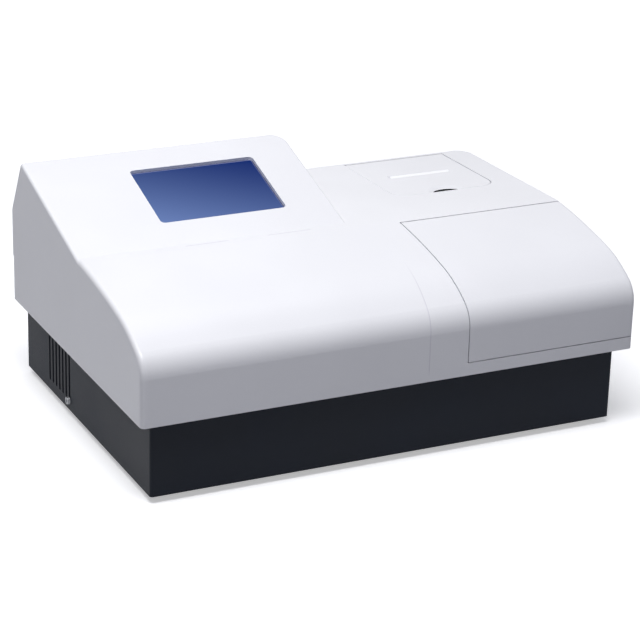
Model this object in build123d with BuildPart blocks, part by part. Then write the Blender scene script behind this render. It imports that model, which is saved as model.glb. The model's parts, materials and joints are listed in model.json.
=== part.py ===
from build123d import *
import os
from math import asin, atan2, cos, degrees, radians, sin, sqrt, tan

os.makedirs("parts", exist_ok=True)

# Benchtop microplate reader. A dark sheet-steel base carries a white moulded housing with a raised
# display console on the left, a lift-up door over the plate carriage on the right and a small
# receipt printer under a cover behind the door. Inside are the plate transport, the optics and
# the electronics.
# Frame: X to the right, Y to the back, Z up, origin on the table under the middle of the housing.

# ---------------------------------------------------------------- overall sizes, mm
overall_width = 440.0
overall_depth = 300.0
overall_height = 200.5       # to the console's rear edge, before it is rounded
foot_height = 6.0
base_height = 64.5           # underside of the base to the housing's lower edge
side_overhang = 11.7         # how far the housing stands out past the base
front_overhang = 10.7
rear_recess = 3.0            # rear panel's outer face, in from the housing's back
sheet = 1.5                  # steel sheet of the base
shell = 3.0                  # moulded wall
seam = 1.0                   # gap round the door
run = 0.06                   # radial clearance of a shaft that turns or slides
play = 0.4                   # clearance between parts that only pass each other

# ---------------------------------------------------------------- front arch of the housing
face_height = 40.0           # straight front face
nose_radius = 23.6
brow_radius = 114.0
crown_radius = 590.0
nose_end = 34.9              # heading of the surface where each arc ends, degrees
brow_end = 13.1
ridge_radius = 40.0          # turns the arch over into the deck
ridge_setback = 3.0          # start of that turn behind the door
deck_fall = 1.5              # the deck drops this many degrees towards the back
deck_corner = 16.0           # rear right corner, seen from above
edge_round = 4.0

# ---------------------------------------------------------------- display console
console_width = 240.4
crease_setback = 7.3         # foot of the console behind the end of the arch
console_top_inset = 25.4     # top edge in front of the housing's back
console_ledge = 1.8          # step where the console's back meets the housing's back
console_corner = 14.0
console_round = 2.5
window_width = 113.0
window_height = 77.0
window_offset = 22.5         # window centre, right of the console's centre
window_up = 32.0             # lower edge of the window above the foot, along the slope
window_corner = 4.0
pane_lap = 3.0               # how far the pane reaches behind the wall
pane_thickness = 2.0
lcd_thickness = 8.0
board_thickness = 1.6

# ---------------------------------------------------------------- door
door_width = 156.8
door_sill = 11.0             # housing left standing below the door
door_corner = 12.0
door_pivot_back = 24.0       # hinge axis in front of the door's rear edge
door_pivot_down = 9.4        # and below the outer surface at that edge
door_rod_radius = 1.5
ear_radius = 3.6
ear_width = 5.0
ear_inset = 18.0             # ears in from the door's side edges
door_rib = 12.0
lip_depth = 2.2

# ---------------------------------------------------------------- printer and its cover
cover_width = 100.0
cover_length = 103.4
cover_back = 7.3             # deck left behind the cover
cover_front_deck = 54.9      # deck between the end of the arch and the cover
cover_corner = 14.0
cover_thickness = 2.6
cover_gap = 0.7
cover_rear_gap = 1.4
cover_pivot_in = 10.0
cover_pivot_down = 5.0
cover_rod_radius = 1.5
notch_width = 27.0
notch_depth = 9.5
scoop_radius = 16.4
scoop_depth = 1.6
paper_width = 57.0
slot_width = 1.0
slot_setback = 54.0          # paper slot behind the cover's front edge
tear_lip_height = 0.8
tear_lip_width = 1.7
bay_wall = 2.0
roll_radius = 15.0
roll_core = 6.3
spindle_radius = 3.0
platen_radius = 5.0
platen_shaft_radius = 2.0
mechanism_length = 26.0
mechanism_height = 28.0

# ---------------------------------------------------------------- plate transport
plate_length = 127.76        # standard microplate
plate_width = 85.48
plate_height = 14.35
pocket_play = 0.32
well_pitch = 9.0
channels = 8
carriage_width = 112.0
carriage_rim = 2.8           # front and rear rim of the carriage past the pocket
carriage_thickness = 10.0
pocket_depth = 6.0
carriage_front = 8.0         # carriage behind the housing's front
carriage_rise = 18.0         # carriage underside above the transport plate
rail_clear = 5.5             # rear rail bracket in front of the tray's back
transport_gauge = 2.0
rod_spacing = 92.0
rod_radius = 4.0
rod_rise = 12.0
bushing_radius = 7.0
bushing_length = 16.0
block_length = 54.0
rail_gap = 8.0               # front rail bracket in front of the bearing blocks
bracket_gauge = 6.0
screw_offset = 17.6          # drive screw left of the carriage
screw_radius = 4.0
nut_radius = 6.5
nut_length = 15.0
motor_size = 28.0
motor_length = 30.0
motor_shaft_radius = 2.5
coupling_length = 14.0

# ---------------------------------------------------------------- optics
bridge_depth = 30.0
bridge_gap = 7.9             # optics bridge in front of the printer bay
light_rise = 50.0            # light path above the transport plate
head_gap = 3.6               # optics head above the top of a plate
head_depth = 24.0
head_height = 28.0
beam_slot_x = 28.0           # slots in the bridge, either side of its middle
shelf_length = 101.0
lens_radius = 3.5
pipe_radius = 4.0
wheel_radius = 35.0
wheel_thickness = 4.0
filter_circle = 25.0
filter_radius = 6.0
filters = 8
tube_radius = 8.0

# ---------------------------------------------------------------- base, ports and vents
foot_radius = 10.0
foot_inset = 23.0
vent_count = 7
vent_pitch = 8.0
vent_width = 3.4
vent_height = 45.0
vent_inset = 83.3            # middle of the vents in front of the housing's back
vent_low = 9.0               # lowest end of the vents above the base's underside
fan_size = 40.0
fan_depth = 10.0
fan_x = -20.0
port_z = 39.0
inlet_inset = 43.3           # middle of the power inlet in from the panel's end
switch_pitch = 37.0          # power switch beside the inlet
serial_inset = 148.3

# ---------------------------------------------------------------- derived places
half_width = overall_width / 2
front_y = -overall_depth / 2
back_y = overall_depth / 2
base_half = half_width - side_overhang
base_front = front_y + front_overhang
panel_y = back_y - rear_recess
floor_z = foot_height + sheet
shell_z = foot_height + base_height
face_top = shell_z + face_height
flange_z = shell_z + 1.0
transport_z = flange_z + 0.5
tray_back = panel_y - sheet
vent_middle = back_y - vent_inset
inlet_x = -base_half + inlet_inset
switch_x = inlet_x + switch_pitch
serial_x = base_half - serial_inset
cover_rear = back_y - cover_back
cover_front = cover_rear - cover_length
bay_front = cover_front - play - bay_wall


def arc_step(y, z, radius, start, end):
    """Centre of a clockwise arc that starts at (y, z), and where it ends, for headings in degrees."""
    centre = (y + radius * sin(radians(start)), z - radius * cos(radians(start)))
    stop = (centre[0] - radius * sin(radians(end)), centre[1] + radius * cos(radians(end)))
    return centre, stop


nose_centre, nose_stop = arc_step(front_y, face_top, nose_radius, 90, nose_end)
brow_centre, brow_stop = arc_step(*nose_stop, brow_radius, nose_end, brow_end)
ridge_y = cover_front - cover_front_deck
crown_reach = brow_stop[0] + crown_radius * sin(radians(brow_end)) + ridge_radius * sin(radians(deck_fall))
crown_end = degrees(asin((crown_reach - ridge_y) / (crown_radius - ridge_radius)))
crown_centre, crown_stop = arc_step(*brow_stop, crown_radius, brow_end, crown_end)
ridge_centre, ridge_stop = arc_step(*crown_stop, ridge_radius, crown_end, -deck_fall)
ridge_z = ridge_stop[1]


def deck_z(y):
    """Height of the deck's outer surface."""
    return ridge_z - (y - ridge_y) * tan(radians(deck_fall))


def ceiling_z(y):
    """Height of the deck's underside."""
    return deck_z(y) - shell / cos(radians(deck_fall))


def crown_z(y):
    """Height of the outer surface just in front of the deck, where the door is hinged."""
    return crown_centre[1] + sqrt(crown_radius**2 - (y - crown_centre[0]) ** 2)


crease_y = ridge_y + crease_setback
crease_z = deck_z(crease_y)
console_top_y = back_y - console_top_inset
console_run = console_top_y - crease_y
console_right = console_width - half_width
rise = overall_height - crease_z
slope = rise / console_run
slope_length = (console_run**2 + rise**2) ** 0.5
slope_y = console_run / slope_length
slope_z = rise / slope_length
window_x = console_right - console_width / 2 + window_offset
window_mid = window_up + window_height / 2

door_left = half_width - door_width
bay_x = (door_left + half_width) / 2
door_low = shell_z + door_sill
door_back = crown_stop[0] - ridge_setback
pivot_y = door_back - seam / 2 - door_pivot_back
pivot_z = crown_z(door_back) - door_pivot_down
door_swing = sqrt(door_pivot_back**2 + door_pivot_down**2)

cover_pivot_y = cover_rear - cover_rear_gap - cover_pivot_in
cover_pivot_z = deck_z(cover_pivot_y) - cover_pivot_down
slot_y = cover_front + slot_setback

carriage_z = transport_z + carriage_rise
carriage_y = front_y + carriage_front
pocket_length = plate_length + 2 * pocket_play
pocket_width = plate_width + 2 * pocket_play
carriage_length = pocket_length + 2 * carriage_rim
pocket_z = carriage_z + carriage_thickness - pocket_depth
plate_top = pocket_z + plate_height
rod_z = transport_z + rod_rise
block_rear = carriage_y + carriage_length - 4
block_front = block_rear - block_length
front_rail_y = block_front - rail_gap - bracket_gauge
rear_rail_y = tray_back - rail_clear - bracket_gauge
travel = rear_rail_y - 2 - carriage_y - carriage_length
screw_x = bay_x - carriage_width / 2 - screw_offset
screw_z = transport_z + motor_size / 2
motor_y = front_rail_y - 2 - motor_length
wing_front = block_front + 6

light_z = transport_z + light_rise
head_z = plate_top + head_gap
read_y = bay_front - bridge_gap - bridge_depth / 2
partition_x = door_left - 12.7
wheel_x = partition_x - 16.5
bracket_x = wheel_x - 4 - 2
bay_low = plate_top + 1.6
bay_floor = bay_low + bay_wall
roll_y = cover_front + 27
roll_z = bay_floor + roll_radius + 2
platen_y = slot_y + 6
platen_z = bay_floor + mechanism_height + 1


# ---------------------------------------------------------------- building helpers
def block(x, y, z, mode=Mode.ADD):
    """A box between two limits along each axis."""
    with Locations(((x[0] + x[1]) / 2, (y[0] + y[1]) / 2, (z[0] + z[1]) / 2)):
        Box(x[1] - x[0], y[1] - y[0], z[1] - z[0], mode=mode)


def along_x(x, y, z):
    """Plane facing +X, with its own y axis upward."""
    return Plane(origin=(x, y, z), x_dir=(0, 1, 0), z_dir=(1, 0, 0))


def along_y(x, y, z):
    """Plane facing +Y, with its own y axis upward."""
    return Plane(origin=(x, y, z), x_dir=(-1, 0, 0), z_dir=(0, 1, 0))


def along_z(x, y, z):
    return Plane(origin=(x, y, z), x_dir=(1, 0, 0), z_dir=(0, 0, 1))


def bar(plane, radius, length, mode=Mode.ADD):
    """A round bar standing on a plane."""
    with BuildSketch(plane) as round_end:
        Circle(radius)
    extrude(round_end.sketch, amount=length, mode=mode)


def screw_solid(plane, shank, head, head_height, length):
    """A pan-head screw whose head sits on the plane and whose shank goes down through it."""
    with BuildSketch(plane) as head_outline:
        Circle(head)
    extrude(head_outline.sketch, amount=head_height, taper=12)
    with BuildSketch(plane) as shank_outline:
        Circle(shank)
    extrude(shank_outline.sketch, amount=-length)
    with BuildSketch(plane.offset(head_height)) as drive_outline:
        Rectangle(head * 1.1, head * 0.22)
        Rectangle(head * 0.22, head * 1.1)
    extrude(drive_outline.sketch, amount=-head_height * 0.5, mode=Mode.SUBTRACT)


def finish(builder, name):
    builder.part.label = name
    export_step(builder.part, f"parts/{name}.step")


def arch_outline(inset, low):
    """Side profile of the housing without the console, `inset` inside the skin."""
    front = front_y + inset
    Line((front, low), (front, face_top))
    CenterArc(nose_centre, nose_radius - inset, 180, nose_end - 90)
    CenterArc(brow_centre, brow_radius - inset, nose_end + 90, brow_end - nose_end)
    CenterArc(crown_centre, crown_radius - inset, brow_end + 90, crown_end - brow_end)
    ridge = CenterArc(ridge_centre, ridge_radius - inset, crown_end + 90, -deck_fall - crown_end)
    rear_top = deck_z(back_y - inset) - inset / cos(radians(deck_fall))
    Polyline(ridge @ 1, (back_y - inset, rear_top), (back_y - inset, low), (front, low))


def arch_block(inset, x_low, x_high, low):
    """The arched body as a solid, with its rear right corner rounded where it reaches that side."""
    with BuildPart() as body:
        with BuildSketch(Plane.YZ.offset(x_low)):
            with BuildLine():
                arch_outline(inset, low)
            make_face()
        extrude(amount=x_high - x_low)
        if x_high > half_width - 2 * shell:
            uprights = body.edges().filter_by(Axis.Z).sort_by(Axis.X)[-2:]
            fillet(uprights.sort_by(Axis.Y)[-1], deck_corner - inset)
    return body.part


def console_block(inset, low):
    """The wedge that carries the display, reaching down into the body it stands on."""
    drop = inset / slope_y
    foot_y = crease_y - 2 * edge_round
    back_low = back_y - console_ledge - inset
    right = console_right - inset
    with BuildPart() as wedge:
        with BuildSketch(Plane.YZ.offset(-half_width + inset)):
            with BuildLine():
                Polyline(
                    (foot_y, low),
                    (foot_y, crease_z - (crease_y - foot_y) * slope - drop),
                    (console_top_y - inset / 2, overall_height - inset / 2 * slope - drop),
                    (back_low, deck_z(back_y)),
                    (back_low, low),
                    close=True,
                )
            make_face()
        extrude(amount=right + half_width - inset)
        high = wedge.edges().filter_by(lambda e: e.center().Z > deck_z(back_y) + 5)
        back_right = high.filter_by(lambda e: abs(e.center().X - right) < 0.1).sort_by(Axis.Y)[-1]
        fillet(back_right, console_corner - inset)
    return wedge.part


def door_region(gap, x_low):
    """The volume the door takes from the housing, `gap` inside the seam's middle line.

    Behind the hinge its edges are arcs about the hinge, so the door turns past the housing."""
    with BuildPart() as region:
        with BuildSketch(Plane.YZ.offset(x_low)):
            with BuildLine():
                low = door_low + gap
                corner = door_corner - gap
                radius = door_swing + seam / 2 - gap
                back = pivot_y + radius
                sweep = pivot_z - low
                corner_y = radius - corner
                corner_z = -sqrt((sweep - corner) ** 2 - corner_y**2)
                meet = degrees(atan2(corner_z, corner_y))
                Line((front_y - 20, low), (pivot_y, low))
                CenterArc((pivot_y, pivot_z), sweep, -90, meet + 90)
                CenterArc((pivot_y + corner_y, pivot_z + corner_z), corner, meet, -meet)
                Line((back, pivot_z + corner_z), (back, pivot_z))
                rear_edge = CenterArc((pivot_y, pivot_z), radius, 0, 45)
                Polyline(
                    rear_edge @ 1,
                    ((rear_edge @ 1).X, overall_height),
                    (front_y - 20, overall_height),
                    (front_y - 20, low),
                )
            make_face()
        extrude(amount=half_width + 20 - x_low)
    return region.part


def cover_plan(gap, rear_gap):
    """The printer cover's opening seen from above, drawn in by a gap, with its front corners rounded."""
    low = cover_front + gap
    high = cover_rear - rear_gap
    with BuildSketch(Plane.XY.offset(bay_low)) as plan:
        with Locations((bay_x, (low + high) / 2)):
            Rectangle(cover_width - 2 * gap, high - low)
        fillet(plan.vertices().group_by(Axis.Y)[0], cover_corner - gap)
    return plan.sketch


# The arched body with its softened edges: the housing and the door are both cut from it.
with BuildPart() as arch_skin:
    add(arch_block(0, -half_width, half_width, shell_z))
    rim = ShapeList()
    for edge in arch_skin.edges():
        middle = edge.center()
        upright = abs(edge.tangent_at(0.5).Z) > 0.99
        on_side = abs(abs(middle.X) - half_width) < 0.01 and middle.Z > shell_z + 1
        on_back = middle.Z > deck_z(back_y) - 1 and middle.Y > back_y - deck_corner
        if (on_side or on_back) and not (upright and middle.X > 0 and middle.Y > 0):
            rim.append(edge)
    fillet(rim, edge_round)

arch_hollow = arch_block(shell, -half_width + shell, half_width - shell, shell_z - 1)

# ---------------------------------------------------------------- upper housing
console_plane = Plane(
    origin=(window_x, crease_y, crease_z), x_dir=(1, 0, 0), z_dir=(0, -slope_z, slope_y)
)
boss_depth = shell + pane_thickness + lcd_thickness
board_x = window_width / 2 + 9
board_y = window_height / 2 + 8
side_lug_x = base_half + side_overhang / 2
front_lug_y = base_front - front_overhang / 2 + 0.7
lug_places = [
    (-side_lug_x, front_y + 60), (-side_lug_x, back_y - 50),
    (side_lug_x, front_y + 60), (side_lug_x, back_y - 90),
    (-half_width + 100, front_lug_y), (console_right, front_lug_y),
]
lug_low = flange_z + sheet
lug_high = door_low - 1.5

with BuildPart() as console_skin:
    add(console_block(0, face_top))
    top_edges = ShapeList()
    for edge in console_skin.edges():
        middle = edge.center()
        along_foot = middle.Y < crease_y
        low_down = middle.Z < deck_z(back_y) + 3
        if not along_foot and not low_down and abs(edge.tangent_at(0.5).Z) < 0.9:
            top_edges.append(edge)
    fillet(top_edges, console_round)

with BuildPart() as upper_housing:
    add(arch_skin.part)
    add(console_skin.part)
    add(arch_hollow, mode=Mode.SUBTRACT)
    add(console_block(shell, shell_z - 1), mode=Mode.SUBTRACT)
    add(door_region(-seam / 2, door_left - seam / 2), mode=Mode.SUBTRACT)
    # ledge behind the door's left edge, following the arch
    ledge_x = door_left - seam / 2 - 4
    with BuildSketch(Plane.YZ.offset(ledge_x)):
        with BuildLine():
            arch_outline(shell + play, door_low - 6)
        make_face()
        with BuildLine():
            arch_outline(shell + play + lip_depth, door_low - 7)
        make_face(mode=Mode.SUBTRACT)
        with Locations((back_y, face_top)):
            Rectangle(2 * (back_y - pivot_y + 8), 4 * face_top, mode=Mode.SUBTRACT)
    extrude(amount=7)
    with BuildSketch(Plane.YZ.offset(ledge_x)):
        with BuildLine():
            arch_outline(shell - 0.5, door_low - 6)
        make_face()
        with BuildLine():
            arch_outline(shell + play + 0.1, door_low - 7)
        make_face(mode=Mode.SUBTRACT)
        with Locations((back_y, face_top)):
            Rectangle(2 * (back_y - pivot_y + 8), 4 * face_top, mode=Mode.SUBTRACT)
    extrude(amount=3.5)
    # lip behind the door's lower edge
    lip_y = front_y + shell
    block((ledge_x, half_width - shell - play), (lip_y - 0.5, lip_y + lip_depth + play), (door_low - 6, door_low - 1.2))
    block((ledge_x, half_width - shell - play), (lip_y + play, lip_y + lip_depth + play), (door_low - 2, door_low + 4))
    # lugs that take the screws from the base
    for x, y in lug_places:
        if abs(y) > abs(base_front) - 1:
            lug_y = (front_y + shell - 0.5, base_front + 3)
            block((x - 6, x + 6), lug_y, (lug_low, lug_high))
        else:
            side = 1 if x > 0 else -1
            ends = sorted((side * (half_width - shell + 0.5), side * (base_half - 3)))
            block((ends[0], ends[1]), (y - 6, y + 6), (lug_low, lug_high))
        bar(along_z(x, y, lug_low), 1.5, 7, Mode.SUBTRACT)
    # window opening, pane frame and the posts behind it
    with BuildSketch(console_plane.offset(-shell + 0.3)):
        with Locations((0, window_mid)):
            Rectangle(window_width + 2 * pane_lap + 5, window_height + 2 * pane_lap + 5)
    extrude(amount=-pane_thickness - 2)
    with BuildSketch(console_plane.offset(-shell)):
        with Locations((0, window_mid)):
            Rectangle(window_width + 2 * pane_lap, window_height + 2 * pane_lap)
    extrude(amount=-pane_thickness - 4, mode=Mode.SUBTRACT)
    with BuildSketch(console_plane.offset(-shell + 0.3)):
        with Locations((0, window_mid)):
            with GridLocations(2 * board_x, 2 * board_y, 2, 2):
                Circle(3.2)
    extrude(amount=-boss_depth + shell - 0.3)
    with BuildSketch(console_plane.offset(1)):
        with Locations((0, window_mid)):
            RectangleRounded(window_width, window_height, window_corner)
    extrude(amount=-shell - 2, mode=Mode.SUBTRACT)
    # opening for the printer cover
    extrude(cover_plan(0, 0), amount=overall_height, mode=Mode.SUBTRACT)
finish(upper_housing, "upper_housing")

# ---------------------------------------------------------------- door
ear_places = (door_left + ear_inset, half_width - ear_inset - ear_width)

with BuildPart() as plate_door:
    add(arch_skin.part)
    add(door_region(seam / 2, door_left + seam / 2), mode=Mode.INTERSECT)
    add(arch_hollow, mode=Mode.SUBTRACT)
    # stiffening rib beside the left edge
    with BuildSketch(Plane.YZ.offset(ledge_x + 7 + 0.8)):
        with BuildLine():
            arch_outline(shell - 0.5, door_low + 6)
        make_face()
        with BuildLine():
            arch_outline(shell + door_rib, door_low)
        make_face(mode=Mode.SUBTRACT)
        with Locations((back_y, face_top)):
            Rectangle(2 * (back_y - pivot_y + 6), 4 * face_top, mode=Mode.SUBTRACT)
    extrude(amount=2.5)
    # ears that turn on the hinge rod
    for x in ear_places:
        with BuildSketch(Plane.YZ.offset(x)):
            with BuildLine():
                Polyline(
                    (pivot_y - ear_radius, pivot_z),
                    (pivot_y + ear_radius, pivot_z),
                    (pivot_y + ear_radius, crown_z(pivot_y + ear_radius) - shell + 0.8),
                    (pivot_y - 14, crown_z(pivot_y - 14) - shell + 0.8),
                    close=True,
                )
            make_face()
            with Locations((pivot_y, pivot_z)):
                Circle(ear_radius)
        extrude(amount=ear_width)
        bar(along_x(x - 1, pivot_y, pivot_z), door_rod_radius + run, ear_width + 2, Mode.SUBTRACT)
finish(plate_door, "plate_door")

# gooseneck brackets that reach round the door's rear edge to hold the rod
swing = door_swing + 0.7
bracket_places = {
    "door_hinge_bracket_left": ear_places[0] - 1 - ear_width,
    "door_hinge_bracket_right": ear_places[1] + ear_width + 1,
}
for name, x in bracket_places.items():
    with BuildPart() as hinge_bracket:
        with BuildSketch(Plane.YZ.offset(x)):
            with BuildLine():
                rear = pivot_y + swing
                root_z = crown_z(rear) - shell - 0.05
                Polyline(
                    (pivot_y - 5.5, pivot_z - 1),
                    (pivot_y - 5.5, pivot_z - swing - 6),
                    (rear + 12, pivot_z - swing - 6),
                    (rear + 12, ceiling_z(rear + 12)),
                    (rear, root_z),
                    (rear, pivot_z - swing),
                    (pivot_y + 2.6, pivot_z - swing),
                    (pivot_y + 2.6, pivot_z - 1),
                    close=True,
                )
            make_face()
            with Locations((pivot_y - 0.4, pivot_z)):
                Circle(3.1)
        extrude(amount=ear_width)
        outer = hinge_bracket.edges().filter_by(Axis.X)
        fillet(outer.filter_by(lambda e: e.center().Z < pivot_z - swing - 5), 5)
        bar(along_x(x - 1, pivot_y, pivot_z), door_rod_radius, ear_width + 2, Mode.SUBTRACT)
    finish(hinge_bracket, name)

with BuildPart() as door_hinge_rod:
    rod_from = ear_places[0] - ear_width - 1
    rod_to = ear_places[1] + 2 * ear_width + 1
    bar(along_x(rod_from, pivot_y, pivot_z), door_rod_radius, rod_to - rod_from)
finish(door_hinge_rod, "door_hinge_rod")

# ---------------------------------------------------------------- display
with BuildPart() as display_window:
    with BuildSketch(console_plane.offset(-shell)):
        with Locations((0, window_mid)):
            Rectangle(window_width + 2 * pane_lap, window_height + 2 * pane_lap)
    extrude(amount=-pane_thickness)
finish(display_window, "display_window")

with BuildPart() as lcd_module:
    lcd_depth = shell + pane_thickness
    with BuildSketch(console_plane.offset(-lcd_depth)):
        with Locations((0, window_mid)):
            Rectangle(window_width + 4, window_height + 4)
    extrude(amount=-lcd_thickness)
    with BuildSketch(console_plane.offset(-lcd_depth)):
        with Locations((0, window_mid)):
            Rectangle(window_width - 3, window_height - 3)
    extrude(amount=-0.6, mode=Mode.SUBTRACT)
finish(lcd_module, "lcd_module")

with BuildPart() as display_board:
    with BuildSketch(console_plane.offset(-boss_depth)):
        with Locations((0, window_mid)):
            Rectangle(2 * board_x + 8, 2 * board_y + 8)
    extrude(amount=-board_thickness)
    with BuildSketch(console_plane.offset(-boss_depth - board_thickness)):
        with Locations((0, window_mid)):
            with Locations((-30, 18), (5, 18), (-30, -18)):
                Rectangle(18, 14)
            with Locations((45, 0)):
                Rectangle(9, 42)
    extrude(amount=-3)
finish(display_board, "display_board")

# ---------------------------------------------------------------- base
foot_x = base_half - foot_inset
foot_places = [
    (-foot_x, base_front + foot_inset), (foot_x, base_front + foot_inset),
    (-foot_x, tray_back - foot_inset), (foot_x, tray_back - foot_inset),
]
side_screw = (44.5, 14.3)
vent_z = foot_height + vent_low + vent_height / 2
board_from = (-base_half + 30, base_front + 12)
board_size = (104.0, 92.0)
board_rise = 6.0
post_places = [
    (board_from[0] + dx, board_from[1] + dy)
    for dx in (5, board_size[0] - 5)
    for dy in (5, board_size[1] - 5)
]
panel_side = base_half - sheet - 6
panel_screw_places = [
    (-panel_side, foot_height + 12), (-panel_side, shell_z - 10),
    (panel_side, foot_height + 12), (panel_side, shell_z - 10), (0, foot_height + 7),
]

with BuildPart() as base_tray:
    block((-base_half, base_half), (base_front, tray_back), (foot_height, flange_z + sheet))
    fillet(base_tray.edges().filter_by(Axis.Z).group_by(Axis.Y)[0], 2.5)
    block(
        (-base_half + sheet, base_half - sheet),
        (base_front + sheet, tray_back + 1),
        (floor_z, flange_z + sheet + 1),
        Mode.SUBTRACT,
    )
    # rim that carries the housing
    reach = side_overhang - shell - play
    reach_front = front_overhang - shell - play
    with BuildSketch(Plane.XY.offset(flange_z)):
        rim_depth = tray_back - base_front + reach_front
        with Locations((0, tray_back - rim_depth / 2)):
            outer_rim = Rectangle(2 * (base_half + reach), rim_depth)
        fillet(outer_rim.vertices().sort_by(Axis.X)[-2:].sort_by(Axis.Y)[-1], deck_corner - shell)
        with Locations((0, (base_front + sheet + tray_back) / 2 + 5)):
            Rectangle(2 * (base_half - sheet), tray_back - base_front - sheet + 10, mode=Mode.SUBTRACT)
    extrude(amount=sheet)
    # lips that take the rear panel
    for side in (-1, 1):
        ends = sorted((side * (base_half - sheet / 2), side * (base_half - 13)))
        block((ends[0], ends[1]), (tray_back - sheet, tray_back), (foot_height + 1, shell_z - 2))
    block((-base_half + 1, base_half - 1), (tray_back - sheet, tray_back), (foot_height + 1, foot_height + 13))
    # cooling slots in both sides
    with BuildSketch(Plane.YZ.offset(-base_half - 5)) as vents:
        with Locations((vent_middle, vent_z)):
            with GridLocations(vent_pitch, 1, vent_count, 1):
                SlotOverall(vent_height, vent_width, rotation=90)
    extrude(vents.sketch, amount=2 * base_half + 10, mode=Mode.SUBTRACT)
    # posts for the main board
    for x, y in post_places:
        bar(along_z(x, y, foot_height + 1), 3.5, sheet - 1 + board_rise)
        bar(along_z(x, y, floor_z), 1.3, board_rise + 1, Mode.SUBTRACT)
    for x, y in foot_places:
        bar(along_z(x, y, foot_height - 1), 2.5, sheet + 2, Mode.SUBTRACT)
    for x, y in lug_places:
        bar(along_z(x, y, flange_z - 1), 1.5, sheet + 2, Mode.SUBTRACT)
    bar(along_x(-base_half - 1, *side_screw), 2, 2 * base_half + 2, Mode.SUBTRACT)
    for x, z in panel_screw_places:
        bar(along_y(x, tray_back - sheet - 1, z), 1.5, sheet + 2, Mode.SUBTRACT)
finish(base_tray, "base_tray")

with BuildPart() as rubber_feet:
    for x, y in foot_places:
        with BuildSketch(along_z(x, y, foot_height)) as foot_top:
            Circle(foot_radius)
        extrude(foot_top.sketch, amount=-foot_height, taper=10)
        bar(along_z(x, y, foot_height - 1), 2.5, sheet + 2.5)
        bar(along_z(x, y, floor_z), 3.4, 2)
finish(rubber_feet, "rubber_feet")

with BuildPart() as housing_screws:
    for x, y in lug_places:
        below = Plane(origin=(x, y, flange_z), x_dir=(1, 0, 0), z_dir=(0, 0, -1))
        screw_solid(below, 1.5, 2.7, 1.8, 7)
finish(housing_screws, "housing_screws")

with BuildPart() as side_screws:
    left_face = Plane(origin=(-base_half, *side_screw), x_dir=(0, 1, 0), z_dir=(-1, 0, 0))
    right_face = Plane(origin=(base_half, *side_screw), x_dir=(0, 1, 0), z_dir=(1, 0, 0))
    screw_solid(left_face, 2, 3.6, 2.2, 6)
    screw_solid(right_face, 2, 3.6, 2.2, 6)
finish(side_screws, "side_screws")

with BuildPart() as rear_panel:
    block((-base_half, base_half), (tray_back, panel_y), (foot_height, shell_z - 1))
    panel_top = base_half - deck_corner
    block((-panel_top, panel_top), (tray_back, panel_y), (shell_z - 2, flange_z + sheet + 2))
    bar(along_y(fan_x, tray_back - 1, port_z), fan_size / 2 - 1.2, sheet + 2, Mode.SUBTRACT)
    inlet_cut = (27.4, 19.8)
    switch_cut = (13.0, 19.8)
    serial_cut = (20.0, 11.4)
    for x, size in ((inlet_x, inlet_cut), (switch_x, switch_cut), (serial_x, serial_cut)):
        with BuildSketch(along_y(x, tray_back - 1, port_z)) as cut:
            Rectangle(*size)
        extrude(cut.sketch, amount=sheet + 2, mode=Mode.SUBTRACT)
    for x, z in panel_screw_places:
        bar(along_y(x, tray_back - 1, z), 1.5, sheet + 2, Mode.SUBTRACT)
finish(rear_panel, "rear_panel")

with BuildPart() as panel_screws:
    for x, z in panel_screw_places:
        screw_solid(along_y(x, panel_y, z), 1.5, 2.8, 1.8, 6)
finish(panel_screws, "panel_screws")

# ---------------------------------------------------------------- ports
with BuildPart() as power_inlet:
    with BuildSketch(along_y(inlet_x, panel_y, port_z)):
        RectangleRounded(inlet_cut[0] + 4, inlet_cut[1] + 4, 2)
    extrude(amount=2.2)
    with BuildSketch(along_y(inlet_x, panel_y, port_z)):
        Rectangle(*inlet_cut)
    extrude(amount=-22)
    # socket with two bevelled corners, and its three flat pins
    with BuildSketch(along_y(inlet_x, panel_y + 2.2, port_z)) as socket:
        Rectangle(24.0, 16.2)
        chamfer(socket.vertices().group_by(Axis.Z)[-1], 5)
    extrude(amount=-17, mode=Mode.SUBTRACT)
    with BuildSketch(along_y(inlet_x, panel_y - 15.8, port_z)):
        with Locations((-7, -2), (7, -2), (0, 2)):
            Rectangle(2, 4)
    extrude(amount=14)
    with BuildSketch(along_y(inlet_x, panel_y - 22, port_z)):
        with Locations((-7, -2), (7, -2), (0, 2)):
            Rectangle(4.8, 0.8)
    extrude(amount=-6)
finish(power_inlet, "power_inlet")

rocker_depth = 3.0           # rocker's axis behind the panel face
rocker_tilt = 8.0
rocker_height = 15.0
with BuildPart() as switch_frame:
    with BuildSketch(along_y(switch_x, panel_y, port_z)):
        RectangleRounded(switch_cut[0] + 3, switch_cut[1] + 3, 1.5)
    extrude(amount=1.6)
    with BuildSketch(along_y(switch_x, panel_y, port_z)):
        Rectangle(*switch_cut)
    extrude(amount=-16)
    with BuildSketch(along_y(switch_x, panel_y + 1.6, port_z)):
        Rectangle(switch_cut[0] - 2.2, rocker_height + 3.2)
    extrude(amount=-12, mode=Mode.SUBTRACT)
    pin_plane = along_x(switch_x - switch_cut[0] / 2 + 0.5, panel_y - rocker_depth, port_z)
    bar(pin_plane, 1.2, 2.6)
    far_plane = along_x(switch_x + switch_cut[0] / 2 - 0.5, panel_y - rocker_depth, port_z)
    bar(far_plane, 1.2, -2.6)
finish(switch_frame, "switch_frame")

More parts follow.
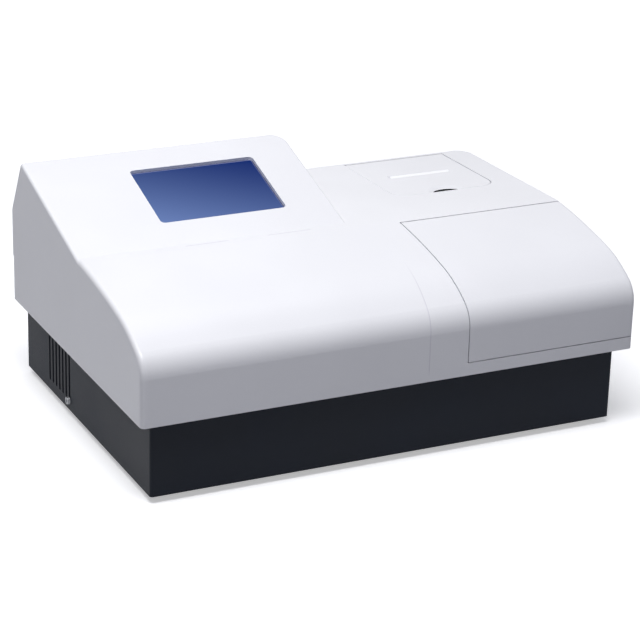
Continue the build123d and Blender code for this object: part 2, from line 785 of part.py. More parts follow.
with BuildPart() as power_switch:
    with BuildSketch(Plane.YZ.offset(switch_x - switch_cut[0] / 2 + 1.5)) as rocker_side:
        with BuildLine():
            Polyline(
                (4.2, -rocker_height / 2), (2.6, 0), (4.2, rocker_height / 2),
                (-1.5, rocker_height / 2 - 0.6), (-4, 3), (-4, -3), (-1.5, 0.6 - rocker_height / 2),
                close=True,
            )
        make_face()
    turned = rocker_side.sketch.rotate(Axis.X, rocker_tilt)
    placed = turned.translate((0, panel_y - rocker_depth, port_z))
    extrude(placed, amount=switch_cut[0] - 3)
    bar(
        along_x(switch_x - switch_cut[0], panel_y - rocker_depth, port_z),
        1.2 + run, 2 * switch_cut[0], Mode.SUBTRACT,
    )
finish(power_switch, "power_switch")

with BuildPart() as serial_port:
    with BuildSketch(along_y(serial_x, panel_y, port_z)):
        RectangleRounded(30.8, 12.5, 1.5)
    extrude(amount=0.8)
    with BuildSketch(along_y(serial_x, panel_y, port_z)) as shroud:
        Trapezoid(17.4, 8.6, 80)
    extrude(amount=2.9)
    with BuildSketch(along_y(serial_x, panel_y, port_z)):
        Rectangle(serial_cut[0] - 0.4, serial_cut[1] - 0.4)
    extrude(amount=-10)
    with BuildSketch(along_y(serial_x, panel_y + 2.9, port_z)):
        Trapezoid(16.2, 7.4, 80)
    extrude(amount=-5, mode=Mode.SUBTRACT)
    with BuildSketch(along_y(serial_x, panel_y - 2.1, port_z)):
        with Locations((0, 1.4)):
            with GridLocations(2.76, 1, 5, 1):
                Circle(0.5)
        with Locations((0, -1.4)):
            with GridLocations(2.76, 1, 4, 1):
                Circle(0.5)
    extrude(amount=4.4)
    with BuildSketch(along_y(serial_x, panel_y + 0.8, port_z)):
        with GridLocations(25, 1, 2, 1):
            RegularPolygon(2.6, 6)
    extrude(amount=2.1)
finish(serial_port, "serial_port")

# ---------------------------------------------------------------- cooling fan
with BuildPart() as cooling_fan:
    with BuildSketch(along_y(fan_x, tray_back - fan_depth, port_z)):
        RectangleRounded(fan_size, fan_size, 3)
        Circle(fan_size / 2 - 1.2, mode=Mode.SUBTRACT)
        with GridLocations(fan_size - 8, fan_size - 8, 2, 2):
            Circle(1.7, mode=Mode.SUBTRACT)
    extrude(amount=fan_depth)
    with BuildSketch(along_y(fan_x, tray_back - fan_depth, port_z)):
        with PolarLocations(fan_size / 4, 3, 90):
            Rectangle(fan_size / 2 - 1, 2.4)
        Circle(8)
    extrude(amount=1.4)
    bar(along_y(fan_x, tray_back - fan_depth, port_z), 1.5, fan_depth - 2)
finish(cooling_fan, "cooling_fan")

with BuildPart() as fan_rotor:
    hub = along_y(fan_x, tray_back - fan_depth + 2, port_z)
    bar(hub, 8.5, fan_depth - 3)
    blade_plane = along_z(fan_x, tray_back - fan_depth / 2 + 0.5, port_z + 7.5)
    for turn in range(7):
        with BuildSketch(blade_plane) as blade:
            Rectangle(8, 1.2, rotation=35)
        spin = blade.sketch.rotate(Axis((fan_x, 0, port_z), (0, 1, 0)), turn * 360 / 7)
        extrude(spin, amount=fan_size / 2 - 9.6)
    bar(hub.offset(-1), 1.5 + run, fan_depth - 3, Mode.SUBTRACT)
finish(fan_rotor, "fan_rotor")

with BuildPart() as fan_guard:
    with BuildSketch(along_y(fan_x, panel_y, port_z)):
        for ring in (6, 11, 16, 20.4):
            Circle(ring)
            Circle(ring - 1.1, mode=Mode.SUBTRACT)
        with PolarLocations(13, 4, 45):
            Rectangle(16, 1.3)
        with GridLocations(fan_size - 8, fan_size - 8, 2, 2):
            Circle(3.2)
    extrude(amount=1.4)
finish(fan_guard, "fan_guard")

# ---------------------------------------------------------------- printer
bay_half = cover_width / 2 + play
bay_rear = platen_y + mechanism_length / 2 + 6
roll_half = paper_width / 2
cradle_in = roll_half + 2.0
cradle_gauge = 2.5
mech_half = roll_half + 9.5
mech_wall = 2.0
deck_plane = Plane(
    origin=(bay_x, cover_rear, deck_z(cover_rear)),
    x_dir=(1, 0, 0),
    z_dir=(0, sin(radians(deck_fall)), cos(radians(deck_fall))),
)
cover_ear_in = 9.0

with BuildPart() as printer_cover:
    with BuildSketch(deck_plane) as cover_outline:
        low = -cover_length + cover_gap
        with Locations((0, (low - cover_rear_gap) / 2)):
            Rectangle(cover_width - 2 * cover_gap, -cover_rear_gap - low)
        fillet(cover_outline.vertices().group_by(Axis.Y)[0], cover_corner - cover_gap)
    extrude(amount=-cover_thickness)
    chamfer(printer_cover.faces().sort_by(Axis.Z)[-1].edges(), 0.5)
    # finger notch in the front edge, with a shallow scoop round it
    notch_radius = (notch_width**2 / 4 + notch_depth**2) / (2 * notch_depth)
    with BuildSketch(deck_plane.offset(1)):
        with Locations((0, -cover_length + notch_depth - notch_radius)):
            Circle(notch_radius)
    extrude(amount=-cover_thickness - 2, mode=Mode.SUBTRACT)
    scoop_face = deck_plane.offset(-scoop_depth)
    with BuildSketch(scoop_face) as scoop:
        with Locations((0, -cover_length)):
            Circle(notch_depth)
    spread = degrees(atan2(scoop_radius - notch_depth, scoop_depth))
    extrude(amount=scoop_depth + 0.4, taper=-spread, mode=Mode.SUBTRACT)
    # tear lip and the paper slot in front of it
    slot_local = -cover_length + slot_setback
    with BuildSketch(deck_plane.offset(-0.3)):
        with Locations((0, slot_local + (slot_width + tear_lip_width) / 2)):
            Rectangle(paper_width + 3, tear_lip_width)
    extrude(amount=tear_lip_height + 0.3)
    with BuildSketch(deck_plane.offset(-0.3)):
        with Locations((0, slot_local)):
            Rectangle(paper_width + 1, slot_width)
    extrude(amount=2, mode=Mode.SUBTRACT)
    with BuildSketch(deck_plane.offset(1)):
        with Locations((0, slot_local)):
            Rectangle(paper_width + 1, slot_width)
    extrude(amount=-cover_thickness - 2, mode=Mode.SUBTRACT)
    # ears for the hinge rod
    for side in (-1, 1):
        centre_x = bay_x + side * (cover_width / 2 - cover_ear_in)
        with BuildSketch(Plane.YZ.offset(centre_x - 2.5)):
            with BuildLine():
                ear_top = deck_z(cover_pivot_y) - cover_thickness + 0.6
                Polyline(
                    (cover_pivot_y - 7, ear_top), (cover_pivot_y - 3, cover_pivot_z - 1),
                    (cover_pivot_y + 3, cover_pivot_z - 1), (cover_pivot_y + 3.2, ear_top),
                    close=True,
                )
            make_face()
            with Locations((cover_pivot_y, cover_pivot_z)):
                Circle(3)
        extrude(amount=5)
        ear_face = along_x(centre_x - 3.5, cover_pivot_y, cover_pivot_z)
        bar(ear_face, cover_rod_radius + run, 7, Mode.SUBTRACT)
finish(printer_cover, "printer_cover")

with BuildPart() as printer_bay:
    # floor, front and rear walls
    block((bay_x - bay_half - bay_wall, bay_x + bay_half + bay_wall), (bay_front, bay_rear), (bay_low, bay_floor))
    block(
        (bay_x - bay_half - bay_wall, bay_x + bay_half + bay_wall),
        (bay_front, bay_front + bay_wall),
        (bay_low, ceiling_z(bay_front + bay_wall)),
    )
    block(
        (bay_x - bay_half - bay_wall, bay_x + bay_half + bay_wall),
        (bay_rear - bay_wall, bay_rear),
        (bay_low, cover_pivot_z - 14),
    )
    # side walls run back as arms that hold the cover's rod
    for side in (-1, 1):
        ends = sorted((bay_x + side * bay_half, bay_x + side * (bay_half + bay_wall)))
        with BuildSketch(Plane.YZ.offset(ends[0])):
            with BuildLine():
                arm_end = cover_pivot_y + 5
                Polyline(
                    (bay_front, bay_low),
                    (bay_rear, bay_low),
                    (arm_end, cover_pivot_z - 12),
                    (arm_end, ceiling_z(arm_end)),
                    (bay_front, ceiling_z(bay_front)),
                    close=True,
                )
            make_face()
        extrude(amount=bay_wall)
        bar(along_x(ends[0] - 1, cover_pivot_y, cover_pivot_z), cover_rod_radius, bay_wall + 2, Mode.SUBTRACT)
    # cradle plates for the paper roll, open at the top
    for side in (-1, 1):
        ends = sorted((bay_x + side * cradle_in, bay_x + side * (cradle_in + cradle_gauge)))
        with BuildSketch(Plane.YZ.offset(ends[0])):
            with Locations((roll_y, (bay_floor + roll_z + 8) / 2 - 0.5)):
                Rectangle(2 * roll_radius, roll_z + 9 - bay_floor)
            with Locations((roll_y, roll_z)):
                Circle(spindle_radius, mode=Mode.SUBTRACT)
            with Locations((roll_y, roll_z + 6)):
                Rectangle(2 * spindle_radius, 12, mode=Mode.SUBTRACT)
        extrude(amount=cradle_gauge)
finish(printer_bay, "printer_bay")

with BuildPart() as cover_hinge_rod:
    rod_half = bay_half + bay_wall
    bar(along_x(bay_x - rod_half, cover_pivot_y, cover_pivot_z), cover_rod_radius, 2 * rod_half)
finish(cover_hinge_rod, "cover_hinge_rod")

with BuildPart() as paper_roll:
    with BuildSketch(along_x(bay_x - roll_half, roll_y, roll_z)):
        Circle(roll_radius)
        Circle(roll_core, mode=Mode.SUBTRACT)
    extrude(amount=paper_width)
    with BuildSketch(along_x(bay_x - roll_half, roll_y, roll_z)):
        Circle(roll_core)
        Circle(spindle_radius + run, mode=Mode.SUBTRACT)
    extrude(amount=paper_width)
finish(paper_roll, "paper_roll")

with BuildPart() as roll_spindle:
    spindle_half = cradle_in + cradle_gauge + 2
    bar(along_x(bay_x - spindle_half, roll_y, roll_z), spindle_radius, 2 * spindle_half)
finish(roll_spindle, "roll_spindle")

mech_y = (platen_y - mechanism_length / 2 - 1, platen_y + mechanism_length / 2 - 1)
with BuildPart() as printer_mechanism:
    block((bay_x - mech_half, bay_x + mech_half), mech_y, (bay_floor, bay_floor + 2))
    for side in (-1, 1):
        ends = sorted((bay_x + side * (mech_half - mech_wall), bay_x + side * mech_half))
        with BuildSketch(Plane.YZ.offset(ends[0])) as cheek:
            with BuildLine():
                Polyline(
                    (mech_y[0], bay_floor), (mech_y[1], bay_floor),
                    (mech_y[1], bay_floor + mechanism_height - 8),
                    (platen_y + 6, platen_z + 1), (platen_y - 6, platen_z + 1),
                    (mech_y[0], bay_floor + mechanism_height - 4),
                    close=True,
                )
            make_face()
            with Locations((platen_y, platen_z)):
                Circle(platen_shaft_radius + run, mode=Mode.SUBTRACT)
            with Locations((platen_y, platen_z + 3)):
                Rectangle(2 * (platen_shaft_radius + run), 6, mode=Mode.SUBTRACT)
        extrude(amount=mech_wall)
    # cross bar behind the platen and the step motor under it
    block((bay_x - mech_half, bay_x + mech_half), (platen_y + 7.5, platen_y + 9.5), (bay_floor, bay_floor + 19))
    bar(along_x(bay_x + 8, platen_y + 1, bay_floor + 7.4), 5.5, mech_half - 8.5)
finish(printer_mechanism, "printer_mechanism")

with BuildPart() as thermal_head:
    head_face = platen_y - platen_radius - 0.1
    block((bay_x - roll_half, bay_x + roll_half), (head_face - 1.5, head_face), (platen_z - 16, platen_z + 1.5))
    block((bay_x - mech_half + mech_wall, bay_x + mech_half - mech_wall), (head_face - 4.5, head_face - 1.5), (platen_z - 18, platen_z - 1.5))
    for fin in range(10):
        x = bay_x - roll_half + 3 + fin * (paper_width - 6) / 9
        block((x - 0.6, x + 0.6), (head_face - 7, head_face - 4.4), (platen_z - 18, platen_z - 3))
finish(thermal_head, "thermal_head")

with BuildPart() as platen_roller:
    bar(along_x(bay_x - roll_half, platen_y, platen_z), platen_radius, paper_width)
    shaft_end = mech_half + 4
    bar(along_x(bay_x - shaft_end, platen_y, platen_z), platen_shaft_radius, shaft_end + mech_half)
finish(platen_roller, "platen_roller")

with BuildPart() as platen_gear:
    with BuildSketch(along_x(bay_x - mech_half - 3.6, platen_y, platen_z)):
        Circle(5.6)
        with PolarLocations(5.9, 18):
            Rectangle(1.6, 1.1)
        Circle(platen_shaft_radius, mode=Mode.SUBTRACT)
    extrude(amount=3)
finish(platen_gear, "platen_gear")

# ---------------------------------------------------------------- plate transport
rod_places = (bay_x - rod_spacing / 2, bay_x + rod_spacing / 2)
rail_half = rod_spacing / 2 + 12
rear_rail_y_end = rear_rail_y + bracket_gauge
plate_right = min(base_half - sheet - play, bay_x + rail_half + 4)

with BuildPart() as transport_plate:
    block((partition_x - 10.5, plate_right), (base_front + sheet + 1, rear_rail_y_end + 1), (transport_z - transport_gauge, transport_z))
    for x in (bay_x - 30, bay_x + 30):
        for y in (read_y - 7, read_y + 7):
            bar(along_z(x, y, transport_z - 0.5), 2.5, 5.5)
finish(transport_plate, "transport_plate")

standoff_places = [
    (x, y)
    for x in (partition_x - 2, plate_right - 8)
    for y in (base_front + 14, 0, rear_rail_y_end - 10)
]
with BuildPart() as plate_standoffs:
    for x, y in standoff_places:
        with BuildSketch(along_z(x, y, floor_z)) as post:
            RegularPolygon(5, 6)
        extrude(post.sketch, amount=transport_z - transport_gauge - floor_z)
finish(plate_standoffs, "plate_standoffs")

with BuildPart() as compartment_partition:
    with BuildSketch(Plane.YZ.offset(partition_x)):
        with BuildLine():
            arch_outline(shell + play + 0.3, transport_z)
        make_face()
        with Locations((0, 0)):
            Rectangle(2 * overall_depth, 2 * transport_z, mode=Mode.SUBTRACT)
        with Locations((read_y, light_z)):
            Circle(pipe_radius + 1, mode=Mode.SUBTRACT)
    extrude(amount=sheet)
    # clear of the base's rim at the front and of the rear panel
    gauge = (partition_x - 1, partition_x + sheet + 1)
    block(gauge, (front_y, base_front + sheet + play), (foot_height, flange_z + sheet + play), Mode.SUBTRACT)
    block(gauge, (tray_back - sheet - play, back_y), (foot_height, overall_height), Mode.SUBTRACT)
    block((partition_x - 8, partition_x + 0.5), (base_front + 8, rear_rail_y_end - 4), (transport_z, transport_z + sheet))
finish(compartment_partition, "compartment_partition")

with BuildPart() as guide_rods:
    for x in rod_places:
        bar(along_y(x, front_rail_y, rod_z), rod_radius, rear_rail_y_end - front_rail_y)
finish(guide_rods, "guide_rods")

with BuildPart() as front_rail_bracket:
    block((bay_x - rail_half, bay_x + rail_half), (front_rail_y, front_rail_y + bracket_gauge), (transport_z, carriage_z - 0.6))
    for x in rod_places:
        bar(along_y(x, front_rail_y - 1, rod_z), rod_radius, bracket_gauge + 2, Mode.SUBTRACT)
    fillet(front_rail_bracket.edges().filter_by(Axis.Y).sort_by(Axis.Z)[-2:], 1.5)
finish(front_rail_bracket, "front_rail_bracket")

with BuildPart() as rear_rail_bracket:
    block((screw_x - 9, bay_x + rail_half), (rear_rail_y, rear_rail_y_end), (transport_z, transport_z + 24))
    for x in rod_places:
        bar(along_y(x, rear_rail_y - 1, rod_z), rod_radius, bracket_gauge + 2, Mode.SUBTRACT)
    bar(along_y(screw_x, rear_rail_y - 1, screw_z), screw_radius + run, bracket_gauge + 2, Mode.SUBTRACT)
finish(rear_rail_bracket, "rear_rail_bracket")

pocket_y = carriage_y + carriage_length / 2
carriage_top = carriage_z + carriage_thickness
with BuildPart() as carriage:
    with BuildSketch(Plane.XY.offset(carriage_z)):
        with Locations((bay_x, pocket_y)):
            RectangleRounded(carriage_width, carriage_length, 4)
    extrude(amount=carriage_thickness)
    # bearing blocks under the rear half
    for x in rod_places:
        block((x - 9, x + 9), (block_front, block_rear), (rod_z - 8, carriage_z + 0.5))
    # wing that carries the nut
    wing_rear = wing_front + nut_length - 5
    block((screw_x - 9, bay_x - carriage_width / 2 + 1), (wing_front, wing_rear), (screw_z - 9, carriage_top - 2))
    with BuildSketch(Plane.XY.offset(pocket_z)):
        with Locations((bay_x, pocket_y)):
            RectangleRounded(pocket_width, pocket_length, 3)
    extrude(amount=pocket_depth + 1, mode=Mode.SUBTRACT)
    with BuildSketch(Plane.XY.offset(carriage_z - 1)):
        with Locations((bay_x, pocket_y)):
            RectangleRounded(pocket_width - 12, pocket_length - 14, 3)
    extrude(amount=carriage_thickness + 2, mode=Mode.SUBTRACT)
    # finger hollows on both sides of the pocket
    with BuildSketch(Plane.XY.offset(pocket_z)):
        with Locations((bay_x - pocket_width / 2, pocket_y), (bay_x + pocket_width / 2, pocket_y)):
            Circle(11)
        with Locations((bay_x, pocket_y)):
            Rectangle(pocket_width - 4, pocket_length - 4, mode=Mode.SUBTRACT)
    extrude(amount=pocket_depth + 1, mode=Mode.SUBTRACT)
    for x in rod_places:
        bar(along_y(x, block_front - 1, rod_z), rod_radius + 1, block_length + 2, Mode.SUBTRACT)
        for y in (block_front, block_rear - bushing_length):
            bar(along_y(x, y, rod_z), bushing_radius, bushing_length, Mode.SUBTRACT)
    bar(along_y(screw_x, wing_front - 1, screw_z), nut_radius, nut_length, Mode.SUBTRACT)
finish(carriage, "carriage")

with BuildPart() as carriage_bushings:
    for x in rod_places:
        for y in (block_front, block_rear - bushing_length):
            with BuildSketch(along_y(x, y, rod_z)) as ring:
                Circle(bushing_radius)
                Circle(rod_radius + run, mode=Mode.SUBTRACT)
            extrude(ring.sketch, amount=bushing_length)
finish(carriage_bushings, "carriage_bushings")

screw_from = motor_y + motor_length + 8
with BuildPart() as drive_screw:
    bar(along_y(screw_x, screw_from, screw_z), screw_radius, rear_rail_y_end - screw_from)
finish(drive_screw, "drive_screw")

with BuildPart() as drive_nut:
    nut_face = along_y(screw_x, wing_front, screw_z)
    bar(nut_face, nut_radius, nut_length - 2)
    bar(nut_face, nut_radius + 2.4, -3)
    bar(nut_face.offset(-4), screw_radius + run, nut_length + 4, Mode.SUBTRACT)
finish(drive_nut, "drive_nut")

with BuildPart() as shaft_coupling:
    coupling_face = along_y(screw_x, motor_y + motor_length + 1.2, screw_z)
    bar(coupling_face, 8, coupling_length)
    bar(coupling_face.offset(-1), motor_shaft_radius + run, coupling_length + 2, Mode.SUBTRACT)
    bar(along_y(screw_x, screw_from, screw_z), screw_radius, coupling_length, Mode.SUBTRACT)
    with BuildSketch(coupling_face.offset(coupling_length / 2 - 0.5)):
        Circle(9)
        Circle(6, mode=Mode.SUBTRACT)
    extrude(amount=1, mode=Mode.SUBTRACT)
finish(shaft_coupling, "shaft_coupling")

with BuildPart() as stepper_motor:
    motor_face = along_y(screw_x, motor_y, screw_z)
    with BuildSketch(motor_face):
        RectangleRounded(motor_size, motor_size, 3)
    extrude(amount=motor_length)
    with BuildSketch(motor_face.offset(6)):
        Rectangle(motor_size + 2, motor_size + 2)
        RectangleRounded(motor_size - 1.2, motor_size - 1.2, 5, mode=Mode.SUBTRACT)
    extrude(amount=motor_length - 12, mode=Mode.SUBTRACT)
    bar(motor_face.offset(motor_length), 7, 0.8)
    bar(motor_face.offset(motor_length), motor_shaft_radius, 7.6)
finish(stepper_motor, "stepper_motor")

# ---------------------------------------------------------------- optics
leg_left = (partition_x + 2.5, partition_x + 6.0)
leg_right = (bay_x + carriage_width / 2 + 2.4, bay_x + carriage_width / 2 + 5.9)
beam_z = head_z + head_height
leg_y = (read_y - 9, read_y + 9)
with BuildPart() as optics_bridge:
    for ends in (leg_left, leg_right):
        block(ends, leg_y, (transport_z, beam_z + 4))
    beam_y = (read_y - bridge_depth / 2, read_y + bridge_depth / 2)
    block((leg_left[0], leg_right[1]), beam_y, (beam_z, beam_z + 4))
    bar(along_x(leg_left[0] - 1, read_y, light_z), pipe_radius, 6, Mode.SUBTRACT)
    with BuildSketch(Plane.XY.offset(beam_z - 1)):
        with Locations((bay_x - beam_slot_x, read_y), (bay_x + beam_slot_x, read_y)):
            SlotOverall(30, 12)
    extrude(amount=6, mode=Mode.SUBTRACT)
finish(optics_bridge, "optics_bridge")

head_half = channels * well_pitch / 2 + 4
with BuildPart() as optics_head:
    block((bay_x - head_half, bay_x + head_half), (read_y - head_depth / 2, read_y + head_depth / 2), (head_z, beam_z))
    block(
        (bay_x - head_half + 3, bay_x + head_half - 3),
        (read_y - head_depth / 2 + 3, read_y + head_depth / 2 - 3),
        (head_z + 3, beam_z - 3),
        Mode.SUBTRACT,
    )
    bar(along_x(bay_x - head_half - 1, read_y, light_z), pipe_radius, 5, Mode.SUBTRACT)
    with BuildSketch(Plane.XY.offset(head_z - 1)):
        with Locations((bay_x, read_y)):
            with GridLocations(well_pitch, 1, channels, 1):
                Circle(lens_radius)
    extrude(amount=5, mode=Mode.SUBTRACT)
finish(optics_head, "optics_head")

with BuildPart() as lens_row:
    with BuildSketch(Plane.XY.offset(head_z + 0.4)) as lenses:
        with Locations((bay_x, read_y)):
            with GridLocations(well_pitch, 1, channels, 1):
                Circle(lens_radius)
    extrude(amount=2.2)
finish(lens_row, "lens_row")

with BuildPart() as detector_board:
    board_low = transport_z + 5
    block((bay_x - 36, bay_x + 36), (read_y - 10, read_y + 10), (board_low, board_low + board_thickness))
    with BuildSketch(Plane.XY.offset(board_low + board_thickness)):
        with Locations((bay_x, read_y)):
            with GridLocations(well_pitch, 1, channels, 1):
                Circle(2.6)
    extrude(amount=3)
finish(detector_board, "detector_board")

pipe_from = partition_x - 7
with BuildPart() as light_pipe:
    bar(along_x(pipe_from, read_y, light_z), pipe_radius, bay_x - head_half + 3 - pipe_from)
finish(light_pipe, "light_pipe")

wheel_z = light_z - filter_circle
with BuildPart() as filter_wheel:
    wheel_face = along_x(wheel_x, read_y, wheel_z)
    with BuildSketch(wheel_face):
        Circle(wheel_radius)
        with PolarLocations(filter_circle, filters, 90):
            Circle(filter_radius, mode=Mode.SUBTRACT)
        Circle(motor_shaft_radius, mode=Mode.SUBTRACT)
    extrude(amount=wheel_thickness)
    with BuildSketch(wheel_face):
        Circle(8)
    extrude(amount=-2.5)
    bar(wheel_face.offset(-4), motor_shaft_radius + run, 12, Mode.SUBTRACT)
finish(filter_wheel, "filter_wheel")

with BuildPart() as filter_set:
    with BuildSketch(along_x(wheel_x + 0.5, read_y, wheel_z)) as glass:
        with PolarLocations(filter_circle, filters, 90):
            Circle(filter_radius)
    extrude(amount=wheel_thickness - 1)
finish(filter_set, "filter_set")

shelf_from = wheel_x - 3 - shelf_length
shelf_y = (read_y - 44, read_y + 46)
with BuildPart() as optics_shelf:
    block((shelf_from, wheel_x - 3), shelf_y, (transport_z - sheet, transport_z))
    for x in (shelf_from, wheel_x - 3 - sheet):
        block((x, x + sheet), shelf_y, (floor_z, transport_z))
    block((shelf_from, shelf_from + 10), shelf_y, (floor_z, floor_z + sheet))
    block((wheel_x - 14, wheel_x - 4), shelf_y, (floor_z, floor_z + sheet))
finish(optics_shelf, "optics_shelf")

with BuildPart() as wheel_bracket:
    block((bracket_x, bracket_x + 2), (read_y - 26, read_y + 26), (transport_z, light_z + tube_radius + 4))
    block((bracket_x - 10, bracket_x + 1), (read_y - 26, read_y + 26), (transport_z, transport_z + 2))
    bar(along_x(bracket_x - 1, read_y, light_z), tube_radius, 4, Mode.SUBTRACT)
    bar(along_x(bracket_x - 1, read_y, wheel_z), 7, 4, Mode.SUBTRACT)
finish(wheel_bracket, "wheel_bracket")

filter_motor_length = 28.0
with BuildPart() as filter_motor:
    back_face = along_x(bracket_x - filter_motor_length, read_y, wheel_z)
    with BuildSketch(back_face):
        RectangleRounded(motor_size, motor_size, 3)
    extrude(amount=filter_motor_length)
    with BuildSketch(back_face.offset(6)):
        Rectangle(motor_size + 2, motor_size + 2)
        RectangleRounded(motor_size - 1.2, motor_size - 1.2, 5, mode=Mode.SUBTRACT)
    extrude(amount=filter_motor_length - 12, mode=Mode.SUBTRACT)
    bar(back_face.offset(filter_motor_length), 7, 0.8)
    bar(back_face, motor_shaft_radius, wheel_x + wheel_thickness + 0.5 - bracket_x + filter_motor_length)
finish(filter_motor, "filter_motor")

lamp_wall = 4.0
lamp_right = bracket_x - filter_motor_length - 4
lamp_x = (lamp_right - 56, lamp_right)
lamp_y = (read_y - 26, read_y + 26)
lamp_top = light_z + 24
with BuildPart() as lens_tube:
    tube_face = along_x(lamp_right - lamp_wall, read_y, light_z)
    with BuildSketch(tube_face):
        Circle(tube_radius)
        Circle(tube_radius - 2, mode=Mode.SUBTRACT)
    extrude(amount=bracket_x + 2 - lamp_right + lamp_wall)
finish(lens_tube, "lens_tube")

with BuildPart() as condenser_lens:
    radius = tube_radius - 2
    lens_curve = (radius**2 + 2.0**2) / (2 * 2.0)
    with BuildSketch(Plane.XY):
        with BuildLine():
            Polyline((1.2, radius), (-1.2, radius), (-1.2, 0), (3.2, 0))
            RadiusArc((3.2, 0), (1.2, radius), lens_curve)
        make_face()
    revolve(axis=Axis.X)
condenser_lens.part.position = ((lamp_right + bracket_x) / 2 - 4, read_y, light_z)
finish(condenser_lens, "condenser_lens")

with BuildPart() as lamp_housing:
    block(lamp_x, lamp_y, (transport_z, lamp_top))
    cavity_low = light_z - 22
    block(
        (lamp_x[0] + 8, lamp_x[1] - lamp_wall),
        (lamp_y[0] + 6, lamp_y[1] - 6),
        (cavity_low, lamp_top - 6),
        Mode.SUBTRACT,
    )
    bar(along_x(lamp_right - lamp_wall - 1, read_y, light_z), tube_radius, lamp_wall + 2, Mode.SUBTRACT)
    # cooling fins across the top and down both sides
    with BuildSketch(Plane.YZ.offset(lamp_x[0] - 1)):
        for step in range(7):
            with Locations((lamp_y[0] + 5 + step * 7, lamp_top - 1)):
                Rectangle(3.4, 8)
    extrude(amount=lamp_x[1] - lamp_x[0] + 2, mode=Mode.SUBTRACT)
    for step in range(7):
        z = transport_z + 10 + step * 7
        block((lamp_x[0] - 1, lamp_x[1] - 6), (lamp_y[0] - 1, lamp_y[0] + 4), (z, z + 3.4), Mode.SUBTRACT)
        block((lamp_x[0] - 1, lamp_x[1] - 6), (lamp_y[1] - 4, lamp_y[1] + 1), (z, z + 3.4), Mode.SUBTRACT)
finish(lamp_housing, "lamp_housing")

with BuildPart() as lamp:
    lamp_cx = (lamp_x[0] + 8 + lamp_x[1] - lamp_wall) / 2
    bar(along_z(lamp_cx, read_y, cavity_low), 9, 10)
    bar(along_z(lamp_cx, read_y, cavity_low + 9), 5.5, 20)
    chamfer(lamp.edges().sort_by(Axis.Z)[-1], 3)
finish(lamp, "lamp")

# ---------------------------------------------------------------- electronics
with BuildPart() as main_board:
    left, front = board_from
    board_z = floor_z + board_rise
    block((left, left + board_size[0]), (front, front + board_size[1]), (board_z, board_z + board_thickness))
    top = board_z + board_thickness
    for dx, dy, wide, deep, high in (
        (28, 47, 28, 28, 3), (60, 40, 16, 22, 3), (58, 66, 20, 14, 3), (78, 48, 8, 30, 9),
        (20, 18, 14, 9, 8), (40, 18, 14, 9, 8), (60, 18, 14, 9, 8), (93, 55, 12, 24, 12),
        (28, 78, 22, 12, 5), (80, 80, 12, 12, 10),
    ):
        block(
            (left + dx - wide / 2, left + dx + wide / 2),
            (front + dy - deep / 2, front + dy + deep / 2),
            (top - 0.2, top + high),
        )
    for dx, dy in ((74, 18), (85, 18), (85, 30)):
        bar(along_z(left + dx, front + dy, top - 0.2), 4, 11)
finish(main_board, "main_board")

with BuildPart() as power_supply:
    supply_x = (-base_half + 12, -base_half + 12 + 72)
    supply_y = (vent_middle - 52, vent_middle + 44)
    supply_top = floor_z + 38
    block(supply_x, supply_y, (floor_z, supply_top))
    fillet(power_supply.edges().filter_by(Axis.Y).sort_by(Axis.Z)[-2:], 2)
    with BuildSketch(Plane.XY.offset(supply_top)):
        with Locations(((supply_x[0] + supply_x[1]) / 2, vent_middle - 4)):
            with GridLocations(1, 8, 1, 9):
                SlotOverall(46, 3)
    extrude(amount=-1.5, mode=Mode.SUBTRACT)
finish(power_supply, "power_supply")
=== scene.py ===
# %% [markdown]
# # A benchtop microplate reader
#
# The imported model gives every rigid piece. This lesson dresses it: it sets the camera and the light,
# writes one finish for each kind of surface, and adds what only the eye needs, such as the screw thread,
# the wires of the fan guard, the circuit tracks and the parting lines of the mouldings.

# %% Load the model
import json
from math import cos, pi, radians, sin

import bmesh
import bpy
from mathutils import Matrix, Vector


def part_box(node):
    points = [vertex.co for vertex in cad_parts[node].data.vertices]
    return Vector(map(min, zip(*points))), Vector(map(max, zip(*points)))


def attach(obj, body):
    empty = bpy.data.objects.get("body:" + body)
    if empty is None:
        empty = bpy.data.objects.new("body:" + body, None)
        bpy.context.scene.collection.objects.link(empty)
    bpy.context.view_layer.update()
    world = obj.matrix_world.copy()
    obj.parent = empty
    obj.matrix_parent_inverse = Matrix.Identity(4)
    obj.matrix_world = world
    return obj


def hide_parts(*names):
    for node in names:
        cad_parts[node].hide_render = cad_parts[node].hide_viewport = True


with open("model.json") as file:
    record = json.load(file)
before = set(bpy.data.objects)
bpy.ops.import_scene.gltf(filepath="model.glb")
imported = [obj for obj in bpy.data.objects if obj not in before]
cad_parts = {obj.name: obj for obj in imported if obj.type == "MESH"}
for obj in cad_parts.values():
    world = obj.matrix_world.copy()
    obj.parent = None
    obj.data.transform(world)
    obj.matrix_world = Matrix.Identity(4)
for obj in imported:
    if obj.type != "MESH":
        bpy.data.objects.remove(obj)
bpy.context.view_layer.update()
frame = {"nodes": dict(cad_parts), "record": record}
nodes = frame["nodes"]

# %% [markdown]
# ## Camera
# The lens is long, so the body is seen almost in parallel. The camera stands in front of the machine's
# left corner and looks down on it, and it is rolled a little. A constraint could aim it at the machine, but
# that leaves no room for the roll, so its turn is written as three rotations in a row.

# %% Place the camera
focal_length = 0.1375        # metres, on a sensor 36 mm wide
camera_place = Vector((-0.84664, -1.73535, 0.83983))
camera_pitch = 0.37816       # radians below the horizon
camera_yaw = 0.45496         # radians to the right of +Y
camera_roll = 0.02835

